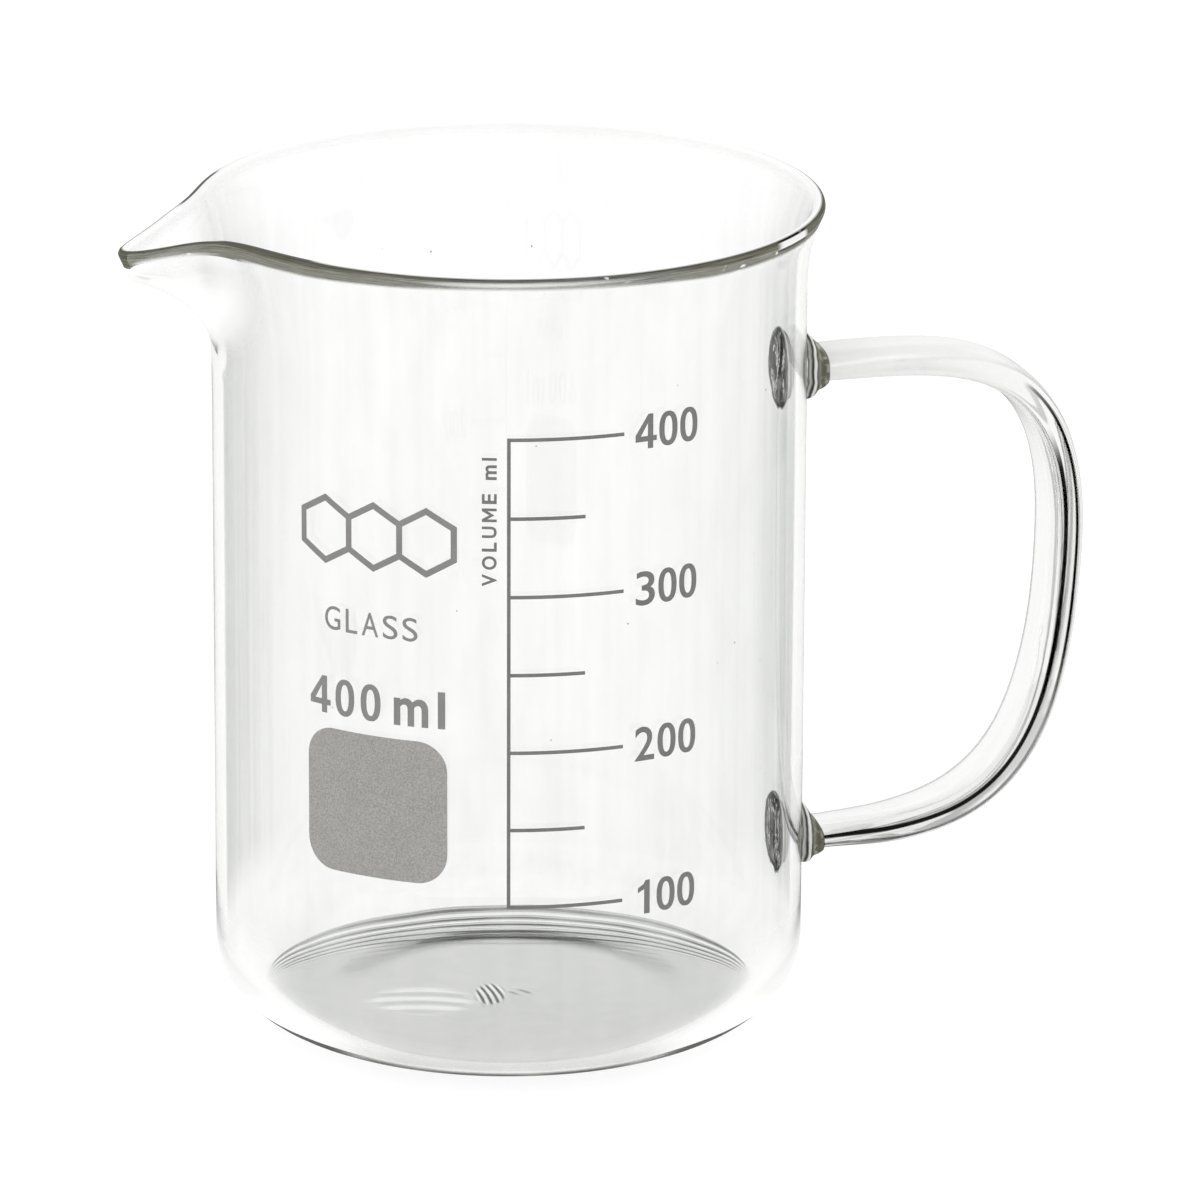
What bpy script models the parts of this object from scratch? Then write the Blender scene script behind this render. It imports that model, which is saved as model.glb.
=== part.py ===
"""Handled glass beaker, low form, nominal 400 ml.

Frame: origin at the centre of the flat foot, +Z up, handle towards +X, pouring
spout towards -X.  Lengths are metres (MM scales millimetres).

Four pieces of glass (vessel, strap handle and the two seals that fuse the strap
to the wall) and the fired-on enamel of the front: scale comb, numerals, capacity
legend, marking patch, small legends and a plain hexagon emblem.
"""
import math

import bmesh
import bpy
from mathutils import Matrix, Vector

MM = 0.001

# ---- driving dimensions -------------------------------------------------
BODY_R = 40.0 * MM          # outside radius of the straight wall
WALL = 1.5 * MM             # wall thickness
RIM_Z = 113.35 * MM        # height of the rounded rim, middle of the wall
RIM_R = 41.72 * MM         # radius there
FLARE_Z = 101.0 * MM        # the wall starts to flare out here
FLARE_POWER = 2.4
HEEL_R = 11.0 * MM          # outside radius of the rounded heel
FOOT_FLAT_R = BODY_R - HEEL_R

SPOUT_REACH = 11.6 * MM     # how far the tip stands out past the rim
SPOUT_DROP = 3.1 * MM       # how far the tip hangs below the rim
SPOUT_ROOT_Z = 91.5 * MM    # the channel dies into the wall here
SPOUT_FULL_Z = 110.0 * MM
SPOUT_W_RIM = 0.135         # half-width of the channel at the rim, radians
SPOUT_W_ROOT = 0.30         # and where it dies into the wall
SPOUT_POWER = 1.25

STRAP_HALF_W = 5.15 * MM    # half-width of the strap, across the handle's plane
STRAP_HALF_T = (1.95 * MM, 2.30 * MM, 1.30 * MM)   # at the upper seal, the grip and the lower seal
STRAP_EXPONENT = 2.6        # superellipse exponent of the strap's section
STRAP_START = 44.0 * MM     # the strap's ends stand this far from the axis
GAP = 0.3 * MM              # clearance between pieces that touch

SEAL_HALF_W = 6.0 * MM      # half-width of a seal where it meets the wall
SEAL_HALF_H = 5.6 * MM      # half-height there

PRINT_T = 0.25 * MM         # thickness of the enamel solids
PRINT_AZ = -107.0           # direction of the scale line, degrees from +X
SCALE_Z = 27.15 * MM        # height of the 100 ml tick
TICK_STEP = 10.73 * MM      # 50 ml
LINE_W = 0.48 * MM
LONG_TICK = 15.43 * MM
SHORT_TICK = 10.13 * MM
NUMERAL_H = 4.7 * MM
NUMERAL_CENTRES = (18.6 * MM, 21.95 * MM, 25.2 * MM)


# ---- scene --------------------------------------------------------------
for old in list(bpy.data.objects):
    bpy.data.objects.remove(old, do_unlink=True)

beaker = bpy.data.collections.new("handled_beaker")
bpy.context.scene.collection.children.link(beaker)
frame_root = bpy.data.objects.new("beaker_frame", None)
beaker.objects.link(frame_root)


def material(name, colour, roughness, metallic=0.0, transmission=0.0):
    mat = bpy.data.materials.new(name)
    mat.use_nodes = True
    shader = mat.node_tree.nodes["Principled BSDF"]
    shader.inputs["Base Color"].default_value = (*colour, 1.0)
    shader.inputs["Roughness"].default_value = roughness
    shader.inputs["Metallic"].default_value = metallic
    shader.inputs["Transmission Weight"].default_value = transmission
    shader.inputs["IOR"].default_value = 1.473
    mat.diffuse_color = (*colour, 1.0)
    return mat


GLASS_WALL = material("glass_wall", (0.93, 0.95, 0.93), 0.02, transmission=1.0)
GLASS_STRAP = material("glass_strap", (0.92, 0.94, 0.92), 0.03, transmission=1.0)
GLASS_SEAL = material("glass_seal", (0.88, 0.91, 0.88), 0.06, transmission=1.0)
ENAMEL = material("enamel_grey", (0.22, 0.215, 0.205), 0.55)
ENAMEL_PATCH = material("enamel_patch", (0.40, 0.39, 0.375), 0.75)


def place(obj, mat):
    obj.data.materials.clear()
    obj.data.materials.append(mat)
    for coll in list(obj.users_collection):
        coll.objects.unlink(obj)
    beaker.objects.link(obj)
    obj.parent = frame_root
    return obj


def baked(obj):
    """The evaluated mesh of an object, as a plain mesh; the object goes."""
    bpy.context.view_layer.update()
    deps = bpy.context.evaluated_depsgraph_get()
    mesh = bpy.data.meshes.new_from_object(obj.evaluated_get(deps))
    mesh.transform(obj.matrix_world)
    bpy.data.objects.remove(obj, do_unlink=True)
    return mesh


def object_from(name, mesh):
    obj = bpy.data.objects.new(name, mesh)
    bpy.context.scene.collection.objects.link(obj)
    return obj


# ---- vessel -------------------------------------------------------------
# The middle surface of the wall is a turned profile.  The spout is drawn out
# of it by moving its points, then Solidify gives it its thickness and Bevel
# rounds the rim.
HALF = WALL / 2


def wall_profile():
    mid_heel = HEEL_R - HALF
    pts = [(0.0, HALF)]
    for i in range(1, 4):
        pts.append((FOOT_FLAT_R * i / 3, HALF))
    for i in range(1, 7):
        a = math.pi / 2 * i / 6
        pts.append((FOOT_FLAT_R + mid_heel * math.sin(a),
                    HEEL_R - mid_heel * math.cos(a)))
    low, high = HEEL_R, SPOUT_ROOT_Z
    for i in range(1, 4):
        pts.append((BODY_R - HALF, low + (high - low) * i / 3))
    for i in range(1, 9):
        z = high + (RIM_Z - high) * i / 8
        f = max(0.0, (z - FLARE_Z) / (RIM_Z - FLARE_Z))
        pts.append((BODY_R - HALF + (RIM_R - BODY_R + HALF) * f ** FLARE_POWER, z))
    return pts


def turned_sheet(name, pts, steps):
    """A profile from rim to foot, so that its faces look outwards."""
    mesh = bpy.data.meshes.new(name)
    mesh.from_pydata([(x, 0.0, z) for x, z in pts],
                     [(i, i + 1) for i in range(len(pts) - 1)], [])
    obj = object_from(name, mesh)
    screw = obj.modifiers.new("turn", "SCREW")
    screw.axis = "Z"
    screw.angle = math.tau
    screw.steps = steps
    screw.render_steps = steps
    screw.use_merge_vertices = True
    screw.merge_threshold = 0.00001
    return obj


def draw_spout(co):
    r = math.hypot(co.x, co.y)
    if r < 1e-6:
        return co.copy()
    # steps crowd together on the spout's side, where the shape turns fastest
    az = math.atan2(co.y, co.x)
    az = az + 0.45 * math.sin(az)
    lift = min(1.0, max(0.0, (co.z - SPOUT_ROOT_Z) / (SPOUT_FULL_Z - SPOUT_ROOT_Z)))
    d = math.atan2(math.sin(az - math.pi), math.cos(az - math.pi))
    width = SPOUT_W_ROOT + (SPOUT_W_RIM - SPOUT_W_ROOT) * lift
    away = math.sqrt(d * d + 0.0009) - 0.03
    bulge = math.exp(-(away / width) ** SPOUT_POWER) * lift ** 2
    drop = math.exp(-(d / 0.12) ** 2) * lift ** 3
    r += SPOUT_REACH * bulge
    return Vector((r * math.cos(az), r * math.sin(az), co.z - SPOUT_DROP * drop))


sheet = turned_sheet("wall_sheet", list(reversed(wall_profile())), 76)
sheet_mesh = baked(sheet)
bm = bmesh.new()
bm.from_mesh(sheet_mesh)
bmesh.ops.remove_doubles(bm, verts=bm.verts, dist=1e-6)
for vert in bm.verts:
    vert.co = draw_spout(vert.co)
bmesh.ops.recalc_face_normals(bm, faces=bm.faces)
lowest = min(bm.faces, key=lambda f: f.calc_center_median().z)
if lowest.normal.z > 0.0:
    bmesh.ops.reverse_faces(bm, faces=bm.faces)
bm.to_mesh(sheet_mesh)
bm.free()

vessel = object_from("vessel", sheet_mesh)
thick = vessel.modifiers.new("wall_thickness", "SOLIDIFY")
thick.thickness = WALL
thick.offset = 0.0
thick.use_even_offset = True
thick.use_rim = True
rounding = vessel.modifiers.new("fire_polished_rim", "BEVEL")
rounding.width = 0.55 * MM
rounding.segments = 2
rounding.limit_method = "ANGLE"
rounding.angle_limit = math.radians(55)
place(vessel, GLASS_WALL)
vessel.data.shade_smooth()


# ---- handle -------------------------------------------------------------
# Centre line of the strap in the X-Z plane: a smooth curve through these knots.
STRAP_KNOTS = [(44.0, 87.25), (49.5, 87.3), (58.0, 87.05), (65.5, 85.8),
               (72.0, 82.6), (76.9, 76.0), (79.1, 67.0), (79.1, 56.5),
               (77.9, 45.0), (75.0, 34.5), (70.2, 27.0), (63.5, 22.4),
               (55.5, 20.4), (49.5, 20.05), (44.0, 19.95)]


def spline_point(knots, t):
    """Catmull-Rom through the knots; t runs from 0 to 1."""
    n = len(knots) - 1
    k = min(int(t * n), n - 1)
    u = t * n - k
    p1, p2 = Vector(knots[k]), Vector(knots[k + 1])
    p0 = Vector(knots[k - 1]) if k > 0 else p1 * 2 - p2
    p3 = Vector(knots[k + 2]) if k + 2 <= n else p2 * 2 - p1
    return 0.5 * ((2 * p1) + (p2 - p0) * u + (2 * p0 - 5 * p1 + 4 * p2 - p3) * u * u
                  + (3 * p1 - p0 - 3 * p2 + p3) * u ** 3)


def strap_frame(t):
    p = spline_point(STRAP_KNOTS, t) * MM
    a = spline_point(STRAP_KNOTS, max(0.0, t - 0.004))
    b = spline_point(STRAP_KNOTS, min(1.0, t + 0.004))
    along = (b - a).normalized()
    if t in (0.0, 1.0):
        along = Vector((1.0 if t == 0.0 else -1.0, 0.0))
    return (Vector((p.x, 0.0, p.y)), Vector((along.x, 0.0, along.y)),
            Vector((-along.y, 0.0, along.x)))


def strap_half_thickness(t):
    upper, grip, lower = STRAP_HALF_T
    root = upper if t < 0.5 else lower
    return root + (grip - root) * max(0.0, math.sin(math.pi * t)) ** 0.8


def superellipse(angle, half_w, half_h, exponent):
    c, s = math.cos(angle), math.sin(angle)
    return (half_w * math.copysign(abs(c) ** (2 / exponent), c),
            half_h * math.copysign(abs(s) ** (2 / exponent), s))


def loft(name, rings, start=None, end=None):
    """A closed solid through rings of equal point count.  start and end are
    the caps' middle points; without one the cap is a single polygon."""
    bm = bmesh.new()
    rows = [[bm.verts.new(p) for p in ring] for ring in rings]
    count = len(rows[0])
    for a, b in zip(rows, rows[1:]):
        for i in range(count):
            j = (i + 1) % count
            bm.faces.new((a[i], a[j], b[j], b[i]))
    for row, middle in ((rows[0], start), (rows[-1], end)):
        if middle is None:
            bm.faces.new(row)
        else:
            centre = bm.verts.new(middle)
            for i in range(count):
                bm.faces.new((row[i], row[(i + 1) % count], centre))
    bmesh.ops.recalc_face_normals(bm, faces=bm.faces)
    if bm.calc_volume(signed=True) < 0.0:
        bmesh.ops.reverse_faces(bm, faces=bm.faces)
    mesh = bpy.data.meshes.new(name)
    bm.to_mesh(mesh)
    bm.free()
    mesh.shade_smooth()
    mesh.set_sharp_from_angle(angle=math.radians(50))
    return mesh


SIDES = 20
strap_rings = []
for i in range(45):
    t = i / 44
    centre, along, out = strap_frame(t)
    half_t = strap_half_thickness(t)
    ring = []
    for k in range(SIDES):
        w, h = superellipse(math.tau * k / SIDES, STRAP_HALF_W, half_t, STRAP_EXPONENT)
        ring.append(centre + Vector((0, 1, 0)) * w + out * h)
    strap_rings.append(ring)
place(object_from("handle", loft("handle", strap_rings)), GLASS_STRAP)


# ---- seals --------------------------------------------------------------
# Each seal is a slumped collar.  Its back lies along the round wall, its front
# meets the end of the strap.
def seal(name, z_mid, strap_t):
    stations = 7
    back_r = BODY_R + GAP
    front_x = STRAP_START - GAP
    front_t = strap_half_thickness(strap_t) + 0.5 * MM
    front_w = STRAP_HALF_W + 0.4 * MM
    strap_z = strap_frame(strap_t)[0].z
    rings = []
    inner = []
    for k in range(SIDES):
        w, h = superellipse(math.tau * k / SIDES, SEAL_HALF_W * 0.5, SEAL_HALF_H * 0.5, 2.0)
        inner.append(Vector((back_r * math.cos(w / back_r), back_r * math.sin(w / back_r), z_mid + h)))
    rings.append(inner)
    for i in range(stations):
        f = i / (stations - 1)
        slump = (1 - f) ** 0.75
        ripple = 1.0 + 0.05 * math.sin(f * math.pi * 3.5)
        half_w = (front_w + (SEAL_HALF_W - front_w) * slump) * ripple
        half_h = (front_t + (SEAL_HALF_H - front_t) * slump) * ripple
        ring = []
        for k in range(SIDES):
            w, h = superellipse(math.tau * k / SIDES, half_w, half_h, 2.0 + 0.6 * f)
            z = z_mid + (strap_z - z_mid) * f + h
            round_back = Vector((back_r * math.cos(w / back_r), back_r * math.sin(w / back_r), z))
            flat_front = Vector((front_x, w, z))
            ring.append(round_back.lerp(flat_front, f))
        rings.append(ring)
    mesh = loft(name, rings, start=Vector((back_r, 0.0, z_mid)))
    return place(object_from(name, mesh), GLASS_SEAL)


seal("upper_seal", 87.3 * MM, 0.0)
seal("lower_seal", 21.0 * MM, 1.0)


# ---- enamel -------------------------------------------------------------
# Each print is drawn flat (x along the wall's girth, y up), given its
# thickness, cut into narrow bands and rolled onto the wall.
ROLL_STEP = 2.6 * MM


def roll_onto_wall(name, mesh, mat):
    bm = bmesh.new()
    bm.from_mesh(mesh)
    bmesh.ops.remove_doubles(bm, verts=bm.verts, dist=2e-6)
    low = min(v.co.x for v in bm.verts)
    high = max(v.co.x for v in bm.verts)
    count = max(1, math.ceil((high - low) / ROLL_STEP))
    for i in range(1, count):
        bmesh.ops.bisect_plane(bm, geom=bm.verts[:] + bm.edges[:] + bm.faces[:],
                               dist=1e-7, plane_co=(low + (high - low) * i / count, 0, 0),
                               plane_no=(1, 0, 0))
    for v in bm.verts:
        az = math.radians(PRINT_AZ) + v.co.x / BODY_R
        r = BODY_R + GAP + v.co.z
        v.co = Vector((r * math.cos(az), r * math.sin(az), v.co.y))
    bmesh.ops.recalc_face_normals(bm, faces=bm.faces)
    if bm.calc_volume(signed=True) < 0.0:
        bmesh.ops.reverse_faces(bm, faces=bm.faces)
    bm.to_mesh(mesh)
    bm.free()
    mesh.name = name
    return place(object_from(name, mesh), mat)


def flat_outline(name, loops):
    """A 2D curve filled between its loops, PRINT_T thick."""
    curve = bpy.data.curves.new(name, "CURVE")
    curve.dimensions = "2D"
    curve.fill_mode = "BOTH"
    curve.extrude = PRINT_T / 2
    for loop in loops:
        line = curve.splines.new("POLY")
        line.points.add(len(loop) - 1)
        for point, (x, y) in zip(line.points, loop):
            point.co = (x, y, 0.0, 1.0)
        line.use_cyclic_u = True
    obj = object_from(name + "_outline", curve)
    obj.location.z = PRINT_T / 2
    return baked(obj)


def glyph(name, character, centre_x, base_y, height, width, mat, boldness=0.0, upright=False):
    """One character, scaled to a width and height.  upright turns it to read
    up the wall."""
    text = bpy.data.curves.new(name, "FONT")
    text.body = character
    text.size = 1.0
    text.resolution_u = 2
    text.offset = boldness
    text.extrude = 0.05
    obj = object_from(name + "_text", text)
    mesh = baked(obj)
    xs = [v.co.x for v in mesh.vertices]
    ys = [v.co.y for v in mesh.vertices]
    zs = [v.co.z for v in mesh.vertices]
    sx = width / (max(xs) - min(xs))
    sy = height / (max(ys) - min(ys))
    sz = PRINT_T / (max(zs) - min(zs))
    move = Matrix.Translation((-(max(xs) + min(xs)) / 2, -min(ys), -min(zs)))
    size = Matrix.Diagonal((sx, sy, sz, 1.0))
    if upright:
        turn = Matrix.Rotation(math.pi / 2, 4, "Z")
    else:
        turn = Matrix.Identity(4)
    mesh.transform(Matrix.Translation((centre_x, base_y, 0.0)) @ turn @ size @ move)
    return roll_onto_wall(name, mesh, mat)


def scale_outline():
    """The scale line and its seven ticks as one comb-shaped outline."""
    h = LINE_W / 2
    ticks = [SCALE_Z + TICK_STEP * i for i in range(7)]
    pts = [(-h, ticks[0] - h)]
    for i, z in enumerate(ticks):
        reach = LONG_TICK if i % 2 == 0 else SHORT_TICK
        pts += [(reach, z - h), (reach, z + h)]
        if i < 6:
            pts += [(h, z + h), (h, ticks[i + 1] - h)]
    pts.append((-h, ticks[-1] + h))
    return pts


roll_onto_wall("scale_comb", flat_outline("scale_comb", [scale_outline()]), ENAMEL)

# numerals, centred on their ticks
NUMERAL_W = {"0": 2.8 * MM, "1": 1.75 * MM, "2": 2.85 * MM, "3": 2.8 * MM, "4": 3.1 * MM}


def one(name, centre_x, base_y, height, width, mat):
    """A plain sans figure one: a stem with a flag."""
    right = centre_x + width / 2
    stem = 0.82 * MM * height / NUMERAL_H
    top = base_y + height
    pts = [(right, base_y), (right, top), (right - 0.75 * stem, top),
           (right - 1.1 * stem, top - 0.11 * height), (right - width, top - 0.22 * height),
           (right - width, top - 0.36 * height), (right - stem, top - 0.26 * height),
           (right - stem, base_y)]
    return roll_onto_wall(name, flat_outline(name, [pts]), mat)


def four(name, centre_x, base_y, height, width, mat):
    """A plain sans figure four: diagonal, crossbar and stem round a triangle."""
    left = centre_x - width / 2
    stroke = 0.78 * MM * height / NUMERAL_H
    stem_r = left + 0.83 * width
    stem_l = stem_r - stroke
    bar_lo = base_y + 0.21 * height
    bar_hi = bar_lo + 0.92 * stroke
    top = base_y + height
    outer = [(stem_l, base_y), (stem_r, base_y), (stem_r, bar_lo), (left + width, bar_lo),
             (left + width, bar_hi), (stem_r, bar_hi), (stem_r, top), (stem_l + 0.1 * stroke, top),
             (left, bar_hi + 0.25 * stroke), (left, bar_lo), (stem_l, bar_lo)]
    inner = [(stem_l, bar_hi), (left + 0.95 * stroke, bar_hi), (stem_l, top - 1.55 * stroke)]
    return roll_onto_wall(name, flat_outline(name, [outer, inner]), mat)


def ring_outline(centre_x, centre_y, half_w, half_h, exponent, count, turn=1):
    pts = []
    for k in range(count):
        a = turn * math.tau * k / count
        c, s = math.cos(a), math.sin(a)
        pts.append((centre_x + half_w * math.copysign(abs(c) ** (2 / exponent), c),
                    centre_y + half_h * math.copysign(abs(s) ** (2 / exponent), s)))
    return pts


def zero(name, centre_x, base_y, height, width, mat):
    """A narrow oval ring."""
    stroke = 0.78 * MM * height / NUMERAL_H
    mid = base_y + height / 2
    return roll_onto_wall(name, flat_outline(name, [
        ring_outline(centre_x, mid, width / 2, height / 2, 2.35, 20),
        ring_outline(centre_x, mid, width / 2 - stroke, height / 2 - 0.86 * stroke, 2.3, 16, -1)]), mat)


def numeral(name, digit, centre_x, base_y, height, width, mat):
    drawn = {"0": zero, "1": one, "4": four}.get(digit)
    if drawn:
        return drawn(name, centre_x, base_y, height, width, mat)
    return glyph(name, digit, centre_x, base_y, height, width, mat, boldness=0.02)


for hundreds in (1, 2, 3, 4):
    tick_z = SCALE_Z + TICK_STEP * 2 * (hundreds - 1)
    for digit, letter, middle in zip(str(hundreds * 100), "abc", NUMERAL_CENTRES):
        numeral("num_%d_%s" % (hundreds * 100, letter), digit, middle,
                tick_z - NUMERAL_H / 2, NUMERAL_H, NUMERAL_W[digit], ENAMEL)

# capacity legend
CAPACITY_BASE = 51.62 * MM
CAPACITY_H = 5.1 * MM
for letter, digit, middle, width in (("a", "4", -26.85, 3.35), ("b", "0", -22.85, 2.95),
                                     ("c", "0", -18.9, 2.95)):
    numeral("capacity_" + letter, digit, middle * MM, CAPACITY_BASE, CAPACITY_H,
            width * MM, ENAMEL)
glyph("capacity_m", "m", -13.1 * MM, CAPACITY_BASE, 3.85 * MM, 4.8 * MM, ENAMEL, boldness=0.03)
bar = 1.0 * MM
roll_onto_wall("capacity_l", flat_outline("capacity_l", [[
    (-8.9 * MM - bar / 2, CAPACITY_BASE), (-8.9 * MM + bar / 2, CAPACITY_BASE),
    (-8.9 * MM + bar / 2, CAPACITY_BASE + CAPACITY_H),
    (-8.9 * MM - bar / 2, CAPACITY_BASE + CAPACITY_H)]]), ENAMEL)


# marking patch
def rounded_rectangle(x0, x1, y0, y1, radius, steps=5):
    pts = []
    for cx, cy, start in ((x1 - radius, y1 - radius, 0), (x0 + radius, y1 - radius, 1),
                          (x0 + radius, y0 + radius, 2), (x1 - radius, y0 + radius, 3)):
        for i in range(steps + 1):
            a = math.pi / 2 * (start + i / steps)
            pts.append((cx + radius * math.cos(a), cy + radius * math.sin(a)))
    return pts


roll_onto_wall("marking_patch", flat_outline("marking_patch", [rounded_rectangle(
    -28.95 * MM, -8.14 * MM, 29.9 * MM, 49.65 * MM, 4.2 * MM)]), ENAMEL_PATCH)

# upright legend beside the scale line, reading upwards: VOLUME ml
UPRIGHT_H = 1.95 * MM
upright_x = -1.58 * MM
along = 71.6
for index, (character, width, height) in enumerate((
        ("V", 1.65, 1.0), ("O", 1.85, 1.0), ("L", 1.25, 1.0), ("U", 1.55, 1.0),
        ("M", 1.85, 1.0), ("E", 1.35, 1.0), ("m", 2.0, 0.76), ("l", 0.36, 1.0))):
    if index == 6:
        along += 1.3
    middle = along + width / 2
    name = "legend_%d" % (index + 1)
    if character == "l":
        half = width / 2 * MM
        roll_onto_wall(name, flat_outline(name, [[
            (upright_x - UPRIGHT_H, middle * MM - half), (upright_x, middle * MM - half),
            (upright_x, middle * MM + half), (upright_x - UPRIGHT_H, middle * MM + half)]]), ENAMEL)
    else:
        glyph(name, character, upright_x, middle * MM, UPRIGHT_H * height, width * MM,
              ENAMEL, upright=True)
    along += width + 0.62

# material line: GLASS
for index, (character, middle, width) in enumerate((
        ("G", -24.75, 2.45), ("L", -21.75, 1.75), ("A", -18.95, 2.45),
        ("S", -16.0, 2.1), ("S", -13.2, 2.1))):
    glyph("glass_%d" % (index + 1), character, middle * MM, 63.35 * MM, 3.25 * MM,
          width * MM, ENAMEL)


# emblem: three plain hexagon rings side by side, sharing their walls
def hexagon(cx, cy, radius):
    return [(cx + radius * math.cos(math.pi / 6 + math.pi / 3 * k),
             cy + radius * math.sin(math.pi / 6 + math.pi / 3 * k)) for k in range(6)]


def emblem_loops():
    radius = 4.3 * MM
    line = 0.42 * MM
    pitch = radius * math.sqrt(3)
    centre = (-18.4 * MM, 77.1 * MM)
    outer_r = radius + line / math.cos(math.pi / 6)
    inner_r = radius - line / math.cos(math.pi / 6)
    centres = [(centre[0] + pitch * i, centre[1]) for i in (-1, 0, 1)]
    step = outer_r * math.cos(math.pi / 6)
    # one outline round all three
    top, bottom = [], []
    for i, (cx, cy) in enumerate(centres):
        left = cx - (step if i == 0 else pitch / 2)
        right = cx + (step if i == 2 else pitch / 2)
        shoulder = outer_r / 2
        peak = outer_r
        slope = math.tan(math.pi / 6)
        left_y = peak - (cx - left) * slope
        right_y = peak - (right - cx) * slope
        top += [(left, cy + left_y), (cx, cy + peak)]
        bottom += [(left, cy - left_y), (cx, cy - peak)]
        if i == 2:
            top.append((right, cy + right_y))
            bottom.append((right, cy - right_y))
    outline = bottom + list(reversed(top))
    return [outline] + [list(reversed(hexagon(cx, cy, inner_r))) for cx, cy in centres]


roll_onto_wall("emblem", flat_outline("emblem", emblem_loops()), ENAMEL)
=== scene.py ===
"""Handled glass beaker: the visual model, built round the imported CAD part.

Lengths are in metres in the part's own frame: origin at the centre of the foot,
+Z up, handle towards +X, spout towards -X.  MM turns millimetres into metres.
"""
import math

import bmesh
import bpy
import numpy as np
from mathutils import Matrix, Vector, noise


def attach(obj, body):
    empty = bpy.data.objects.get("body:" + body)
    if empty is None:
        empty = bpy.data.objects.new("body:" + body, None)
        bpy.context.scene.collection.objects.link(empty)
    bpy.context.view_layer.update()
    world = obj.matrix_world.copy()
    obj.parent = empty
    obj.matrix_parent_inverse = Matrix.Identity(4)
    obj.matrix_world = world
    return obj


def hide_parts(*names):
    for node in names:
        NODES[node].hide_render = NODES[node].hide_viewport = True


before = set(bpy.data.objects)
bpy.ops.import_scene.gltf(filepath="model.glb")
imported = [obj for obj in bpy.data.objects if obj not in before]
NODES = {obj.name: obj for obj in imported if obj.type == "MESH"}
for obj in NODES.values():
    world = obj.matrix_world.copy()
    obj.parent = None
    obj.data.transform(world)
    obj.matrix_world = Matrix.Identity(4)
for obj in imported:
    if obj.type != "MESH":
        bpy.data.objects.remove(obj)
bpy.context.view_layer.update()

MM = 0.001

# ---- dimensions, as in the CAD part --------------------------------------
BODY_R, WALL = 40.0, 1.5
RIM_Z, RIM_R = 113.35, 41.72
FLARE_Z, FLARE_POWER = 101.0, 2.4
HEEL_R = 11.0
FOOT_R = BODY_R - HEEL_R
SPOUT_REACH, SPOUT_DROP = 11.6, 3.1
SPOUT_ROOT_Z, SPOUT_FULL_Z = 91.5, 110.0
SPOUT_W_RIM, SPOUT_W_ROOT, SPOUT_POWER = 0.135, 0.30, 1.25
HALF = WALL / 2
DISC_R = 32.5                                # the inner floor's flat disc, as it is seen
SCAR_TURN = math.radians(-17.0)              # direction of the mark in the foot

PRINT_AZ = math.radians(-107.0)
PRINT_R = BODY_R + 0.02
PRINT_T = 0.06
SCALE_Z, TICK_STEP, LINE_W = 27.15, 10.73, 0.48
LONG_TICK, SHORT_TICK = 15.43, 10.13
NUMERAL_H = 4.7
NUMERAL_CENTRES = (18.6, 21.95, 25.2)


def smooth(x, a, b):
    t = np.clip((x - a) / (b - a), 0.0, 1.0)
    return t * t * (3.0 - 2.0 * t)


def unit(v):
    return v / np.maximum(np.linalg.norm(v, axis=-1, keepdims=True), 1e-12)


def add_object(name, mesh):
    obj = bpy.data.objects.new(name, mesh)
    bpy.context.scene.collection.objects.link(obj)
    return obj


def closed_mesh(name, points, faces, sharp=None):
    """A mesh from points in millimetres, with its faces turned outwards."""
    mesh = bpy.data.meshes.new(name)
    mesh.from_pydata([tuple(p) for p in (np.asarray(points) * MM).tolist()], [], faces)
    bm = bmesh.new()
    bm.from_mesh(mesh)
    if bm.calc_volume(signed=True) < 0.0:
        bmesh.ops.reverse_faces(bm, faces=bm.faces)
    bm.to_mesh(mesh)
    bm.free()
    mesh.shade_smooth()
    if sharp is not None:
        mesh.set_sharp_from_angle(angle=math.radians(sharp))
    return mesh


def grid_faces(rows, count, first):
    """Quads between rows of count points that close on themselves."""
    faces = []
    for k in range(rows - 1):
        a = first + k * count
        b = a + count
        for i in range(count):
            j = (i + 1) % count
            faces.append((a + i, a + j, b + j, b + i))
    return faces


# ---- vessel ---------------------------------------------------------------
def wall_rows():
    """Middle line of the wall from foot to rim, as radius and height."""
    mid_heel = HEEL_R - HALF
    rows = [(FOOT_R * i / 52, HALF) for i in range(1, 53)]
    for i in range(1, 17):
        a = math.pi / 2 * i / 16
        rows.append((FOOT_R + mid_heel * math.sin(a), HEEL_R - mid_heel * math.cos(a)))
    for i in range(1, 33):
        rows.append((BODY_R - HALF, HEEL_R + (SPOUT_ROOT_Z - HEEL_R) * i / 32))
    top = RIM_Z - 0.42
    for i in range(1, 41):
        z = SPOUT_ROOT_Z + (top - SPOUT_ROOT_Z) * i / 40
        f = max(0.0, (z - FLARE_Z) / (RIM_Z - FLARE_Z))
        rows.append((BODY_R - HALF + (RIM_R - BODY_R + HALF) * f ** FLARE_POWER, z))
    return np.array(rows)


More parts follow.
